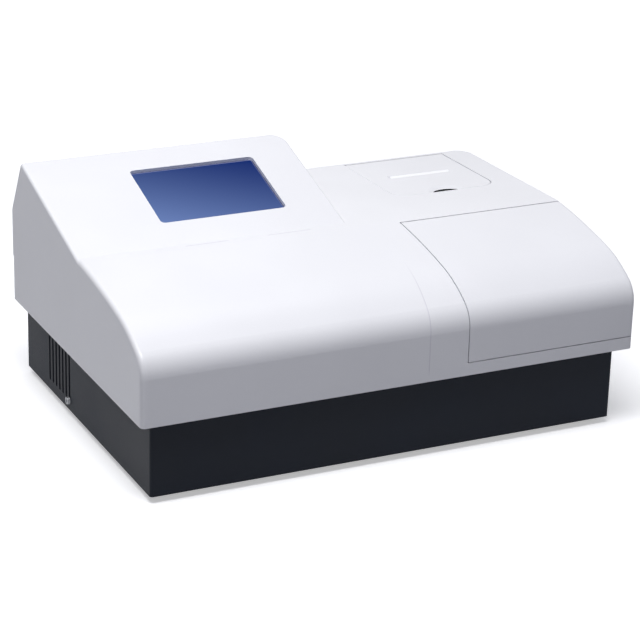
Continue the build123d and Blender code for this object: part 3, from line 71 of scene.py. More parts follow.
camera_data = bpy.data.cameras.new("camera")
camera_data.lens = focal_length * 1000
camera_data.sensor_width = 36
camera = bpy.data.objects.new("camera", camera_data)
bpy.context.scene.collection.objects.link(camera)
level = Matrix.Rotation(-camera_yaw, 4, "Z") @ Matrix.Rotation(pi / 2 - camera_pitch, 4, "X")
camera.matrix_world = Matrix.Translation(camera_place) @ level @ Matrix.Rotation(camera_roll, 4, "Z")
bpy.context.scene.camera = camera
print("camera looks along", [round(v, 3) for v in camera.matrix_world.to_3x3() @ Vector((0, 0, -1))])

# %% [markdown]
# ## Shader arithmetic
# A `Signal` is one output of a material's node tree. It can be added, multiplied and raised like a
# number, and `make` adds any other node and hands back one of its outputs. Nodes can be linked by hand just
# as well, but a formula is shorter to read and easier to change.

# %% Wrap the sockets
class Signal:
    """One output socket of a node tree, usable in plain arithmetic."""

    def __init__(self, tree, socket):
        self.tree = tree
        self.socket = socket

    def make(self, kind, inputs=None, out=0, **settings):
        node = self.tree.nodes.new(kind)
        for name, value in settings.items():
            setattr(node, name, value)
        for key, value in (inputs or {}).items():
            if isinstance(value, Signal):
                self.tree.links.new(value.socket, node.inputs[key])
            else:
                node.inputs[key].default_value = value
        return Signal(self.tree, node.outputs[out])

    def math(self, operation, other=0.0, flipped=False, clamp=False):
        pair = (other, self) if flipped else (self, other)
        return self.make("ShaderNodeMath", dict(enumerate(pair)), operation=operation, use_clamp=clamp)

    def __add__(self, other):
        return self.math("ADD", other)

    def __sub__(self, other):
        return self.math("SUBTRACT", other)

    def __mul__(self, other):
        return self.math("MULTIPLY", other)

    def __truediv__(self, other):
        return self.math("DIVIDE", other)

    def __pow__(self, other):
        return self.math("POWER", other)

    def __rsub__(self, other):
        return self.math("SUBTRACT", other, flipped=True)

    def __rtruediv__(self, other):
        return self.math("DIVIDE", other, flipped=True)

    __radd__ = __add__
    __rmul__ = __mul__

    def rise(self, low, high):
        """0 below low, 1 above high, with a soft step between."""
        inputs = {0: self, 1: low, 2: high, 3: 0.0, 4: 1.0}
        return self.make("ShaderNodeMapRange", inputs, interpolation_type="SMOOTHSTEP")

    def blend(self, first, second):
        """The colour first where this is 0 and second where it is 1."""
        inputs = {0: self, 6: first, 7: second}
        return self.make("ShaderNodeMix", inputs, out=2, data_type="RGBA")

    def noise(self, scale, detail=2.0, roughness=0.5):
        """Noise over this signal taken as a place."""
        return self.make(
            "ShaderNodeTexNoise", {"Vector": self, "Scale": scale, "Detail": detail, "Roughness": roughness}
        )

    def axis(self, letter):
        """One coordinate of this signal taken as a place."""
        return self.make("ShaderNodeSeparateXYZ", {0: self}, out="XYZ".index(letter))

    def stretched(self, x, y, z):
        """This place with each coordinate multiplied, for grain that runs one way."""
        return self.make("ShaderNodeMapping", {"Vector": self, "Scale": (x, y, z)})


print("signals ready")

# %% [markdown]
# Colours are written as a screen shows them, from 0 to 255, and turned into the linear light that shaders
# reckon in. Every finish starts from the same shader and the same measure of place, so that each of them
# says only what is special about it.

# %% Colours and materials
def srgb(red, green, blue):
    """A colour given as 0 to 255 on screen, as the linear colour the shaders want."""
    def linear(value):
        value /= 255
        return value / 12.92 if value <= 0.04045 else ((value + 0.055) / 1.055) ** 2.4

    return (linear(red), linear(green), linear(blue), 1.0)


def finish(name, **constants):
    """A new material: its shader, and the surface place in metres as a Signal."""
    material = bpy.data.materials.new(name)
    material.use_nodes = True
    tree = material.node_tree
    shader = tree.nodes["Principled BSDF"]
    for key, value in constants.items():
        shader.inputs[key.replace("_", " ")].default_value = value
    place = Signal(tree, tree.nodes.new("ShaderNodeTexCoord").outputs["Object"])
    return material, shader, place


def drive(shader, key, signal):
    """Lets a signal set one of the shader's inputs."""
    signal.tree.links.new(signal.socket, shader.inputs[key])


def emboss(shader, height, strength, distance):
    """Turns a height signal, 0 to 1, into bumps of that many metres."""
    bump = height.make("ShaderNodeBump", {"Height": height, "Strength": strength, "Distance": distance})
    drive(shader, "Normal", bump)


print("a screen grey of 128 is", round(srgb(128, 128, 128)[0], 3), "in linear light")

# %% [markdown]
# ## Finishes
# Each finish is a function of its own, so that its colours and the size of its texture can be read and
# changed in one place. All textures are measured in metres on the machine.
#
# The inserts of a mould leave faint lines on what it shapes: here one runs up the front of the arch, and one
# lies in two short spans along the crease under the console. They could be cut into the mesh, but they are
# too fine to feel, so they are drawn as soft bands round a line.

# %% Parting lines of the mould
witness_front = (0.0277, 0.0357)      # X of the line at the front face and at the brow
witness_reach = (-0.150, -0.080)      # Y at those two places
witness_edge = (0.0002, 0.0007)       # the band fades between these distances from its line
witness_heights = (0.074, 0.082)      # it fades in between these heights
crease_line_y = -0.0125
crease_line_spans = ((-0.128, -0.087), (-0.055, -0.013))
crease_line_edge = (0.0003, 0.0008)
crease_line_heights = (0.154, 0.156)


def parting_lines(place):
    """1 on the faint lines that the mould's inserts leave on the arch, 0 elsewhere."""
    x, y, z = (place.axis(letter) for letter in "XYZ")
    run = (y - witness_reach[0]) / (witness_reach[1] - witness_reach[0])
    drift = (x - witness_front[0] - run * (witness_front[1] - witness_front[0])).math("ABSOLUTE")
    front = (1 - drift.rise(*witness_edge)) * (1 - run.rise(0.3, 1.0)) * z.rise(*witness_heights)
    band = 1 - (y - crease_line_y).math("ABSOLUTE").rise(*crease_line_edge)
    spans = 0
    for low, high in crease_line_spans:
        spans = x.rise(low, low + 0.002) * (1 - x.rise(high - 0.004, high)) + spans
    return (front * 0.8 + band * spans * z.rise(*crease_line_heights)).math("MINIMUM", 1.0)


print("parting lines", 1 + len(crease_line_spans))

# %% [markdown]
# A finger lifts the printer cover at a notch in its front edge. The notch is shallow, so light reaches all of
# it and it would hardly show. A deeper cut would be a change to the part, so the cut wall gets painted shade
# instead, a near-black colour, and the notch reads as a hole. The mask is the notch's own arc, where the
# surface stands upright.

# %% Finger notch
cover_low, cover_high = (Vector(corner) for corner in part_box("printer_cover"))
notch_radius = 0.01434               # of the notch's arc
notch_depth = 0.0095
notch_band = (0.0012, 0.0016)        # the paint fades between these distances from the arc
notch_upright = (0.8, 0.92)          # and between these upward parts of the surface's direction
notch_front = (0.0008, 0.0014)       # and between these distances behind the cover's front edge
notch_x = (cover_low.x + cover_high.x) / 2
notch_y = cover_low.y + notch_depth - notch_radius


def notch_painted_shade(place):
    """1 on the cut wall of the printer cover's finger notch, where shade is painted, 0 elsewhere."""
    across = place.axis("X") - notch_x
    along = place.axis("Y") - notch_y
    reach = (across * across + along * along) ** 0.5
    facing = place.make("ShaderNodeTexCoord", out="Normal")
    upright = 1 - facing.axis("Z").math("ABSOLUTE").rise(*notch_upright)
    near = 1 - (reach - notch_radius).math("ABSOLUTE").rise(*notch_band)
    return near * upright * place.axis("Y").rise(*(cover_low.y + step for step in notch_front))


print("notch arc centre", round(notch_x, 4), round(notch_y, 4))

# %% [markdown]
# The housing is a plastic moulding under a sprayed white lacquer with a trace of pearl. A plain white
# material would look like paper, and an image of paint would repeat. Noise at three sizes gives the slow
# drift of the coat, its orange peel and its flake, with no seam anywhere.

# %% Pearl white
def pearl_white():
    """Sprayed pearl white over a moulding: soft gloss, fine orange peel, a trace of flake."""
    material, shader, place = finish("pearl_white", IOR=1.5, Coat_Roughness=0.12, Specular_IOR_Level=0.3)
    peel = place.noise(420, 2.0, 0.55)
    drift = place.noise(9, 2.0, 0.5)
    flake = place.noise(2600, 1.0, 0.6)
    lines = parting_lines(place)
    tone = drift.rise(0.3, 0.7) * 0.5 + flake.rise(0.45, 0.75) * 0.5
    paint = tone.blend(srgb(233, 233, 237), srgb(240, 240, 244))
    paint = (lines * 0.5).blend(paint, srgb(196, 192, 206))
    # Painted shade: the finger notch's cut wall is coloured near black.
    drive(shader, "Base Color", notch_painted_shade(place).blend(paint, srgb(12, 17, 18)))
    drive(shader, "Roughness", 0.30 + drift * 0.05 + flake * 0.05)
    drive(shader, "Coat Weight", 0.22 - drift * 0.08)
    emboss(shader, peel * 0.4 + flake * 0.1 - lines * 0.5, 0.2, 0.0004)
    return material


housing_look = pearl_white()
print("finish", housing_look.name)

# %% [markdown]
# The base is folded steel under a baked powder coat, which dries to a fine leathery skin. The skin could be
# modelled by displacement, but its grains are under a millimetre wide, so a bump is enough. A second, wide
# noise keeps the large flat sides from looking even.

# %% Powder-coated base
def charcoal_powder():
    """Charcoal powder coat with its fine leathery texture, a little cloudy over its width."""
    material, shader, place = finish("charcoal_powder", Specular_IOR_Level=0.14)
    grain = place.noise(1500, 3.0, 0.6)
    cloud = place.noise(14, 2.0, 0.5)
    tone = grain.rise(0.35, 0.7) * 0.6 + cloud.rise(0.3, 0.7) * 0.4
    drive(shader, "Base Color", tone.blend(srgb(21, 25, 33), srgb(30, 35, 45)))
    drive(shader, "Roughness", 0.5 + cloud * 0.12)
    emboss(shader, grain, 0.35, 0.0005)
    return material


base_look = charcoal_powder()
print("finish", base_look.name)

# %% [markdown]
# The display is a lit panel behind glass. A menu would need an image, so the panel shows only its backlight:
# blue, and paler towards the lower left. The glow is worked out from the share of the window's width and
# depth, so it fits a window of any size. The same shares place a painted highlight on the glass's edge and,
# beyond it, a band of painted dark-blue shade for the shaded wall of the recess.

# %% Display
window_low, window_high = (Vector(corner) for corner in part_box("display_window"))
# The shares below place a painted highlight: a bright line where the glass's edge catches the light, along the
# back and the right.
edge_back_from = (0.940, 0.943)       # shares of the window's depth between which its bright edge starts
edge_back_to = (0.950, 0.953)         # and between which it ends
edge_right_from = (0.9655, 0.9665)    # the same along the window's width
edge_right_to = (0.9690, 0.9700)


def display_glow(low, high):
    """A lit blue panel behind glass, paler at its lower left, with a painted highlight on the glass's edge
    along two sides and painted shade beyond it.
    """
    material, shader, place = finish("display_glow", Roughness=0.2, Specular_IOR_Level=0.02)
    across = (place.axis("X") - low.x) / (high.x - low.x)
    along = (place.axis("Y") - low.y) / (high.y - low.y)
    lightness = (1 - along) * 0.5 + (1 - across) * 0.36 + 0.02
    glow = (lightness ** 1.5 * 1.15).blend(srgb(2, 38, 112), srgb(120, 146, 204))
    pixel = place.noise(5200, 1.0, 0.5)
    # Painted highlight on the glass's edge, mixed into the glow below.
    edge = along.rise(*edge_back_from) * (1 - along.rise(*edge_back_to))
    edge = edge + across.rise(*edge_right_from) * (1 - across.rise(*edge_right_to))
    # Painted shade: beyond the edge the window glows a dark blue, for the shaded wall of the recess.
    recess_shade = (along.rise(*edge_back_to) + across.rise(*edge_right_to)).math("MINIMUM", 1.0)
    lit = (pixel * 0.12 + 0.94).blend((0, 0, 0, 1), glow)
    lit = (edge * 0.55).blend(lit, srgb(176, 182, 222))
    drive(shader, "Base Color", pixel.blend(srgb(7, 12, 28), srgb(11, 17, 36)))
    drive(shader, "Emission Color", recess_shade.blend(lit, srgb(26, 30, 84)))
    shader.inputs["Emission Strength"].default_value = 0.85
    return material


display_look = display_glow(window_low, window_high)
print("display", [round(v, 4) for v in window_high - window_low])

# %% [markdown]
# Rods, screws, bushings and the carriage are bare metal. Perfectly polished metal is the easiest to make and
# looks the least real, because a worked piece keeps the marks of its tool. One function draws them all:
# stretched noise gives the grain, and smudges break up the shine.

# %% Brushed and turned metal
def brushed(name, dark, light, grain_scale, roughness, metallic=1.0):
    """Worked metal: the grain is fine along the axes where its scale is large."""
    material, shader, place = finish(name, Metallic=metallic)
    grain = place.stretched(*grain_scale).noise(1.0, 3.0, 0.6)
    smudge = place.noise(30, 2.0, 0.5)
    drive(shader, "Base Color", (grain * 0.7 + smudge * 0.3).rise(0.3, 0.7).blend(dark, light))
    drive(shader, "Roughness", roughness + grain * 0.1 + smudge * 0.08)
    emboss(shader, grain, 0.15, 0.0002)
    return material


print("brushed metal ready")

# %% [markdown]
# The hinge brackets, the partition and the transport plate are zinc-plated sheet, on which the plating grows
# in flat crystals. Noise has no flats, so a Voronoi texture gives each crystal one tone and one roughness.

# %% Zinc-plated sheet
def spangled_zinc():
    """Zinc-plated sheet with the faint crystal pattern of its plating."""
    material, shader, place = finish("spangled_zinc", Metallic=1.0)
    crystal = place.make("ShaderNodeTexVoronoi", {"Vector": place, "Scale": 420.0}, out="Color")
    tone = crystal.axis("X")
    drive(shader, "Base Color", tone.blend(srgb(168, 172, 176), srgb(196, 199, 202)))
    drive(shader, "Roughness", 0.38 + tone * 0.06)
    emboss(shader, place.noise(700, 2.0, 0.5), 0.08, 0.0002)
    return material


zinc_look = spangled_zinc()
print("finish", zinc_look.name)

# %% [markdown]
# A stepper motor is a stack of thin black steel sheets between two cast end caps. The sheets could be
# separate pieces, but the motor is deep inside the body, so a sine wave along its axis draws their edges.

# %% Stepper motor
stack_sheets = 40
front_cap_end = (0.20, 0.21)          # shares of the motor's length
rear_cap_start = (0.72, 0.73)


def stepper_stack(low, high):
    """A stepper motor: two grey end caps and, between them, a black stack of thin laminations."""
    material, shader, place = finish("stepper_stack", Specular_IOR_Level=0.4)
    along = (place.axis("Y") - low.y) / (high.y - low.y)
    cap = (1 - along.rise(*front_cap_end)) + along.rise(*rear_cap_start)
    sheets = (along * (2 * pi * stack_sheets)).math("SINE") * 0.5 + 0.5
    grain = place.noise(2200, 2.0, 0.5)
    stack = (sheets * 0.6 + grain * 0.4).blend(srgb(20, 21, 23), srgb(52, 54, 58))
    drive(shader, "Base Color", cap.blend(stack, grain.blend(srgb(150, 153, 158), srgb(176, 179, 184))))
    drive(shader, "Metallic", cap)
    drive(shader, "Roughness", 0.42 - cap * 0.1 + grain * 0.08)
    emboss(shader, sheets * (1 - cap) + grain * 0.2, 0.3, 0.0002)
    return material


stepper_look = stepper_stack(*(Vector(corner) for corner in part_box("stepper_motor")))
print("motor sheets", stack_sheets)

# %% [markdown]
# Feet, switches, connectors and the printer bay take the texture of their mould, the same all over. One
# function serves plastic and rubber alike, because they differ here only in colour and in how dull they are.

# %% Plastic and rubber
def fine_plastic(name, dark, light, roughness, scale=1100, depth=0.0003):
    """Moulded plastic with an even spark-eroded texture."""
    material, shader, place = finish(name, Specular_IOR_Level=0.45)
    texture = place.noise(scale, 3.0, 0.6)
    cloud = place.noise(25, 2.0, 0.5)
    drive(shader, "Base Color", (texture * 0.5 + cloud * 0.5).rise(0.3, 0.7).blend(dark, light))
    drive(shader, "Roughness", roughness + texture * 0.12)
    emboss(shader, texture, 0.25, depth)
    return material


print("plastic ready")

# %% [markdown]
# The printer takes a roll of thermal paper. To model the roll's turns would take hundreds of thin sheets, so
# their edges are drawn by noise that is stretched along the roll's axis, under a fine grain of fibre.

# %% Thermal paper
def paper():
    """Thermal paper: smooth, with a little fibre and the edges of its turns."""
    material, shader, place = finish("thermal_paper", Specular_IOR_Level=0.3)
    fibre = place.noise(1800, 4.0, 0.7)
    turns = place.stretched(60, 5200, 5200).noise(1.0, 2.0, 0.5)
    tone = (fibre * 0.5 + turns * 0.5).rise(0.3, 0.7)
    drive(shader, "Base Color", tone.blend(srgb(225, 224, 220), srgb(246, 246, 243)))
    drive(shader, "Roughness", 0.6 + fibre * 0.15)
    emboss(shader, turns, 0.15, 0.0001)
    return material


paper_look = paper()
print("finish", paper_look.name)

# %% [markdown]
# A circuit board is glass fibre under a green mask, with copper tracks that lift the mask a little. A real
# layout would need an image. In a Voronoi pattern with Manhattan distance the lines of equal distance run
# straight and turn at right angles, much as tracks do.

# %% Circuit board
def circuit_board():
    """Green solder mask with its tracks showing through as raised lighter lines."""
    material, shader, place = finish("solder_mask", Coat_Weight=0.3, Coat_Roughness=0.15)
    cell = place.make(
        "ShaderNodeTexVoronoi", {"Vector": place, "Scale": 260.0}, out="Distance", distance="MANHATTAN"
    )
    track = (cell * 9).math("FRACT").rise(0.55, 0.62)
    speck = place.noise(900, 2.0, 0.5)
    drive(shader, "Base Color", (track * 0.7 + speck * 0.3).blend(srgb(16, 70, 44), srgb(40, 118, 74)))
    drive(shader, "Roughness", 0.3 + speck * 0.15)
    emboss(shader, track, 0.3, 0.0001)
    return material


board_look = circuit_board()
print("finish", board_look.name)

# %% [markdown]
# Lenses and filters are polished glass with a thin coating. Plain transmission would make them vanish, so a
# faint haze varies the coat and the roughness and gives the light something to catch on.

# %% Optical glass
def clear_glass(name, tint, roughness=0.03):
    """Polished optical glass with a faint coating that varies a little over it."""
    material, shader, place = finish(name, IOR=1.5, Transmission_Weight=0.9, Coat_Roughness=0.05)
    haze = place.noise(120, 2.0, 0.5)
    shader.inputs["Base Color"].default_value = tint
    drive(shader, "Roughness", roughness + haze * 0.03)
    drive(shader, "Coat Weight", 0.2 + haze * 0.2)
    return material


print("glass ready")

# %% [markdown]
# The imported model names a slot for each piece, such as base_paint or rod_steel. A table gives every slot its
# finish, so that one line changes all the pieces that share it. Only the stepper motor gets a look of its
# own, because its slot is shared with pieces that have no stack.

# %% Hand the finishes out
finishes = {
    "housing_white": housing_look,
    "screen_glass": display_look,
    "base_paint": base_look,
    "foot_rubber": fine_plastic("foot_rubber", srgb(18, 18, 19), srgb(30, 30, 31), 0.75),
    "screw_steel": brushed(
        "screw_steel", srgb(120, 122, 126), srgb(160, 162, 166), (2600, 2600, 2600), 0.3
    ),
    "dark_plastic": fine_plastic("dark_plastic", srgb(22, 23, 25), srgb(34, 35, 38), 0.5),
    "board_metal": brushed(
        "stamped_steel", srgb(160, 164, 168), srgb(192, 196, 200), (300, 2400, 2400), 0.3
    ),
    "circuit_board": board_look,
    "rod_steel": brushed("ground_steel", srgb(190, 193, 197), srgb(226, 228, 231), (3000, 90, 3000), 0.16),
    "bracket_metal": zinc_look,
    "inner_plastic": fine_plastic("inner_plastic", srgb(205, 207, 211), srgb(219, 221, 225), 0.45),
    "paper": paper_look,
    "carriage_metal": brushed(
        "machined_aluminium", srgb(186, 189, 193), srgb(216, 218, 222), (90, 2600, 900), 0.3
    ),
    "brass": brushed("turned_brass", srgb(176, 140, 74), srgb(208, 172, 104), (2600, 300, 2600), 0.25),
    "motor_black": brushed("black_lacquer", srgb(24, 26, 29), srgb(38, 40, 44), (900, 900, 900), 0.38, 0.0),
    "optics_glass": clear_glass("optics_glass", srgb(238, 244, 246)),
    "filter_glass": clear_glass("filter_glass", srgb(112, 86, 168)),
}
for entry in frame["record"]["subparts"]:
    for holder in nodes[entry["node"]].material_slots:
        holder.material = finishes[entry["material_slot"]]
for holder in nodes["stepper_motor"].material_slots:
    holder.material = stepper_look
print("finishes", len(finishes))

# %% [markdown]
# ## Pieces for the eye only
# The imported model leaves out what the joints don't need: the screw's thread, the wires of the fan guard,
# the paper on its way to the tear edge. Geometry Nodes grows the pieces that repeat or follow a path, from
# a few named measures in metres. Each one becomes a plain mesh before it is tied to its body.

# %% Graphs with named measures
def graph(name, **measures):
    """A new geometry graph, and one Signal for each named measure."""
    tree = bpy.data.node_groups.new(name, "GeometryNodeTree")
    tree.interface.new_socket("Shape", in_out="OUTPUT", socket_type="NodeSocketGeometry")
    for key, value in measures.items():
        kind = "NodeSocketInt" if isinstance(value, int) else "NodeSocketFloat"
        tree.interface.new_socket(key, in_out="INPUT", socket_type=kind)
    entry = tree.nodes.new("NodeGroupInput")
    return tree, [Signal(tree, entry.outputs[key]) for key in measures]


def grown(tree, shape, material, **measures):
    """Closes a graph with its material, runs it once with these measures and returns the plain mesh."""
    solid = shape.make("GeometryNodeRealizeInstances", {0: shape})
    dressed = solid.make("GeometryNodeSetMaterial", {"Geometry": solid, "Material": material})
    tree.links.new(dressed.socket, tree.nodes.new("NodeGroupOutput").inputs["Shape"])
    holder = bpy.data.objects.new(tree.name, bpy.data.meshes.new(tree.name))
    bpy.context.scene.collection.objects.link(holder)
    modifier = holder.modifiers.new(tree.name, "NODES")
    modifier.node_group = tree
    for item in tree.interface.items_tree:
        if item.in_out == "INPUT":
            modifier[item.identifier] = measures[item.name]
    evaluated = holder.evaluated_get(bpy.context.evaluated_depsgraph_get())
    mesh = bpy.data.meshes.new_from_object(evaluated)
    bpy.data.objects.remove(holder)
    return mesh


print("graphs ready")

# %% [markdown]
# Most of the graphs below do the same four things: carry a shape to its place, join shapes, draw a profile
# along a path, and fan copies round an axis. Each gets a name here, so that a graph reads like a sentence.

# %% Curves and copies
def moved(shape, place, turn=(0.0, 0.0, 0.0)):
    """The shape turned about the origin and then carried to a place."""
    inputs = {"Geometry": shape, "Translation": place, "Rotation": turn}
    return shape.make("GeometryNodeTransform", inputs)


def joined(*shapes):
    """Several shapes as one."""
    node = shapes[0].tree.nodes.new("GeometryNodeJoinGeometry")
    for shape in shapes:
        shape.tree.links.new(shape.socket, node.inputs[0])
    return Signal(shapes[0].tree, node.outputs[0])


def swept(path, profile):
    """The profile curve drawn along the path, closed at its ends."""
    inputs = {"Curve": path, "Profile Curve": profile, "Fill Caps": True}
    return path.make("GeometryNodeCurveToMesh", inputs)


def fanned(curve, count, step, start=0.0):
    """That many copies of a curve, each turned about Z by one step more than the last."""
    points = curve.make("GeometryNodePoints", {"Count": count})
    index = curve.make("GeometryNodeInputIndex")
    turn = curve.make("ShaderNodeCombineXYZ", {2: index * step + start})
    inputs = {"Points": points, "Instance": curve, "Rotation": turn}
    copies = curve.make("GeometryNodeInstanceOnPoints", inputs)
    return curve.make("GeometryNodeRealizeInstances", {0: copies})


print("curve tools ready")

# %% [markdown]
# Every new piece ends the same way: it is shaded smooth up to a sharp edge, gets its finish, is tied to the
# body it moves with, and hides the plain node that it stands for.

# %% Tie a piece to its body
sharp_angle = radians(38)


def settle(name, mesh, body, finish_slot, *hidden):
    """Puts a mesh into the scene as a piece tied to a body, and hides the nodes it stands for."""
    mesh.shade_smooth()
    mesh.set_sharp_from_angle(angle=sharp_angle)
    piece = bpy.data.objects.new(name, mesh)
    bpy.context.scene.collection.objects.link(piece)
    if not mesh.materials:
        mesh.materials.append(finishes[finish_slot])
    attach(piece, body)
    if hidden:
        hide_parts(*hidden)
    print(name, len(mesh.polygons), "faces on", body)


print("edges stay sharp from", round(sharp_angle, 3), "radians")

# %% [markdown]
# Screws and shafts come off a lathe. A Screw modifier would turn a profile as well, but these profiles stop
# short of their axis and would be left open there. So the rings are laid one by one, and a flat face closes
# each end.

# %% Lathe
def turned(profiles, segments=28):
    """A mesh of turned solids: each profile is (centre, axis, [(radius, height), ...])."""
    shape = bmesh.new()
    for centre, axis, steps in profiles:
        spin = Vector((0, 0, 1)).rotation_difference(Vector(axis)).to_matrix()
        rings = []
        for radius, height in steps:
            angles = [2 * pi * k / segments for k in range(segments)]
            places = [Vector((radius * cos(a), radius * sin(a), height)) for a in angles]
            rings.append([shape.verts.new(Vector(centre) + spin @ place) for place in places])
        for lower, upper in zip(rings, rings[1:]):
            for k in range(segments):
                after = (k + 1) % segments
                shape.faces.new((lower[k], lower[after], upper[after], upper[k]))
        shape.faces.new(list(reversed(rings[0])))
        shape.faces.new(rings[-1])
    mesh = bpy.data.meshes.new("turned")
    shape.to_mesh(mesh)
    shape.free()
    return mesh


print("lathe ready")

# %% [markdown]
# The drive screw has five starts and a lead of 20 mm. Its thread is left-handed: a positive turn about +Y
# pushes the carriage towards +Y, as the coupled joint does. A texture could fake the thread, but it would
# leave a straight outline. So a spiral carries a trapezium profile, is copied once for each start, and lies
# on a turned core with plain journals at its ends.

# %% Drive screw
screw_low, screw_high = (Vector(corner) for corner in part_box("drive_screw"))
screw_middle = (screw_low + screw_high) / 2
screw_radius = (screw_high.x - screw_low.x) / 2
thread_depth = 0.00065
core_radius = screw_radius - thread_depth
journal = 0.010              # plain length at each end
lead = 0.020                 # travel for one turn
thread_starts = 5
flank_taper = 0.7            # the crest's width over the root's
shaft_length = screw_high.y - screw_low.y
thread_length = shaft_length - 2 * journal

tree, (starts, turns, thread_height, root, crest_width, tooth) = graph(
    "screw_thread", starts=thread_starts, turns=1.0, thread_height=1.0, root=1.0, crest_width=1.0, tooth=1.0
)
helix = root.make("GeometryNodeCurveSpiral", {
    "Resolution": 40, "Rotations": turns, "Start Radius": root, "End Radius": root,
    "Height": thread_height, "Reverse": False,
})
upright = helix.make("GeometryNodeSetCurveNormal", {"Curve": helix}, mode="Z_UP")
ridge = root.make(
    "GeometryNodeCurvePrimitiveQuadrilateral",
    {"Bottom Width": crest_width, "Top Width": crest_width * flank_taper, "Height": tooth, "Offset": 0.0},
    mode="TRAPEZOID",
)
ridge = moved(ridge, (0.0, 0.0, 0.0), (0.0, 0.0, pi / 2))
flights = swept(fanned(upright, starts, 2 * pi / thread_starts), ridge)
thread_place = (screw_middle.x, screw_low.y + journal, screw_middle.z)
thread = grown(
    tree, moved(flights, thread_place, (-pi / 2, 0.0, 0.0)), finishes["rod_steel"], starts=thread_starts,
    turns=thread_length / lead, thread_height=thread_length, root=core_radius, crest_width=0.0018,
    tooth=0.0012,
)
print("thread turns", round(thread_length / lead, 3))

# %% [markdown]
# The core under the thread is a plain turned shaft: full radius at the journals, chamfered at its ends, and
# cut down to the root between them. Thread and core are closed shells that overlap. They are kept as one
# mesh, because on the real screw they are one bar.

# %% Screw core
chamfer = 0.0004
shoulder = 0.001
shaft_profile = [
    (screw_radius - chamfer, 0),
    (screw_radius, chamfer),
    (screw_radius, journal - shoulder),
    (core_radius, journal),
    (core_radius, shaft_length - journal),
    (screw_radius, shaft_length - journal + shoulder),
    (screw_radius, shaft_length - chamfer),
    (screw_radius - chamfer, shaft_length),
]
shaft_foot = (screw_middle.x, screw_low.y, screw_middle.z)
shaft = turned([(shaft_foot, (0, 1, 0), shaft_profile)], 36)
screw_shape = bmesh.new()
screw_shape.from_mesh(thread)
screw_shape.from_mesh(shaft)
screw_shape.to_mesh(thread)
screw_shape.free()
settle("threaded_drive_screw", thread, "screw_body", "rod_steel", "drive_screw")

# %% [markdown]
# The fan is covered by a guard of round wire: four rings, four spokes, and an eyelet at each corner for a
# screw. It could be welded from toruses and cylinders by hand. As a graph, the number of rings and the
# thickness of the wire stay open to change, and one profile runs along every curve.

# %% Fan guard
guard_low, guard_high = (Vector(corner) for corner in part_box("fan_guard"))
guard_middle = (guard_low + guard_high) / 2
panel_face = guard_low.y
eyelet_place = 0.016         # from the fan's axis, in X and in Z
wire_radius = 0.0005
spoke_lift = 1.4             # wire radii between the rings' centres and the spokes'

tree, (rings, first_ring, ring_step, wire, spoke_from, spoke_to, eyelet) = graph(
    "guard_wires", rings=4, first_ring=1.0, ring_step=1.0, wire=1.0, spoke_from=1.0, spoke_to=1.0, eyelet=1.0
)
index = wire.make("GeometryNodeInputIndex")
unit_ring = wire.make("GeometryNodeCurvePrimitiveCircle", {"Resolution": 56, "Radius": 1.0})
ring_points = wire.make("GeometryNodePoints", {"Count": rings})
ring_size = index * ring_step + first_ring
ring_scale = wire.make("ShaderNodeCombineXYZ", {0: ring_size, 1: ring_size, 2: 1.0})
ring_set = wire.make(
    "GeometryNodeInstanceOnPoints", {"Points": ring_points, "Instance": unit_ring, "Scale": ring_scale}
)
ring_set = wire.make("GeometryNodeRealizeInstances", {0: ring_set})
spoke_start = wire.make("ShaderNodeCombineXYZ", {0: spoke_from, 1: 0.0, 2: wire * spoke_lift})
spoke_end = wire.make("ShaderNodeCombineXYZ", {0: spoke_to, 1: 0.0, 2: wire * spoke_lift})
spoke = wire.make("GeometryNodeCurvePrimitiveLine", {"Start": spoke_start, "End": spoke_end})
spokes = fanned(spoke, 4, pi / 2, pi / 4)
loop = wire.make("GeometryNodeCurvePrimitiveCircle", {"Resolution": 24, "Radius": eyelet})
loops = fanned(moved(loop, (eyelet_place * 2 ** 0.5, 0.0, 0.0)), 4, pi / 2, pi / 4)
section = wire.make("GeometryNodeCurvePrimitiveCircle", {"Resolution": 10, "Radius": wire})
wires = swept(joined(ring_set, spokes, loops), section)
guard_place = (guard_middle.x, panel_face + wire_radius, guard_middle.z)
guard = grown(
    tree, moved(wires, guard_place, (-pi / 2, 0.0, 0.0)), finishes["rod_steel"], rings=4,
    first_ring=0.00545, ring_step=0.0048, wire=wire_radius, spoke_from=0.005, spoke_to=0.0205,
    eyelet=0.0027,
)
settle("wire_fan_guard", guard, "base", "rod_steel", "fan_guard")

# %% [markdown]
# A small pan-head screw holds the guard through each eyelet. All four are one mesh, because they never move
# apart. Each is six rings on the lathe, from the rim over the crown down into the recess.

# %% Screws of the fan guard
pan_head = [
    (0.0022, 0), (0.0022, 0.0005), (0.0019, 0.0010),
    (0.0013, 0.0013), (0.0007, 0.00135), (0.0005, 0.0008),
]
corners = [(x * eyelet_place, z * eyelet_place) for x in (-1, 1) for z in (-1, 1)]
screw_feet = [(guard_middle.x + x, panel_face, guard_middle.z + z) for x, z in corners]
guard_screws = turned([(foot, (0, 1, 0), pan_head) for foot in screw_feet])
settle("guard_screws", guard_screws, "base", "screw_steel")

# %% [markdown]
# The paper leaves the top of the roll, passes over the print head and the rubber roller, and lifts a little
# towards the tear edge. A cloth solver could drape it, but paper under tension runs straight from one
# support to the next, so a strip is drawn along a path of five points.

# %% Paper path
roll_low, roll_high = (Vector(corner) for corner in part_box("paper_roll"))
roll_middle = (roll_low + roll_high) / 2
platen_low, platen_high = (Vector(corner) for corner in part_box("platen_roller"))
sheet_thickness = 0.0001
web_path = [                                                  # Y and Z of each support
    (roll_middle.y - 0.006, roll_high.z - 0.00125),           # lies on the roll
    (roll_middle.y, roll_high.z + 0.00004),                   # leaves its top
    (0.092, 0.1449),                                          # print head
    ((platen_low.y + platen_high.y) / 2, platen_high.z + 0.00008),
    (0.1042, 0.1471),                                         # under the tear edge
]
side_margin = 0.0004         # the sheet is narrower than the roll by this at each side

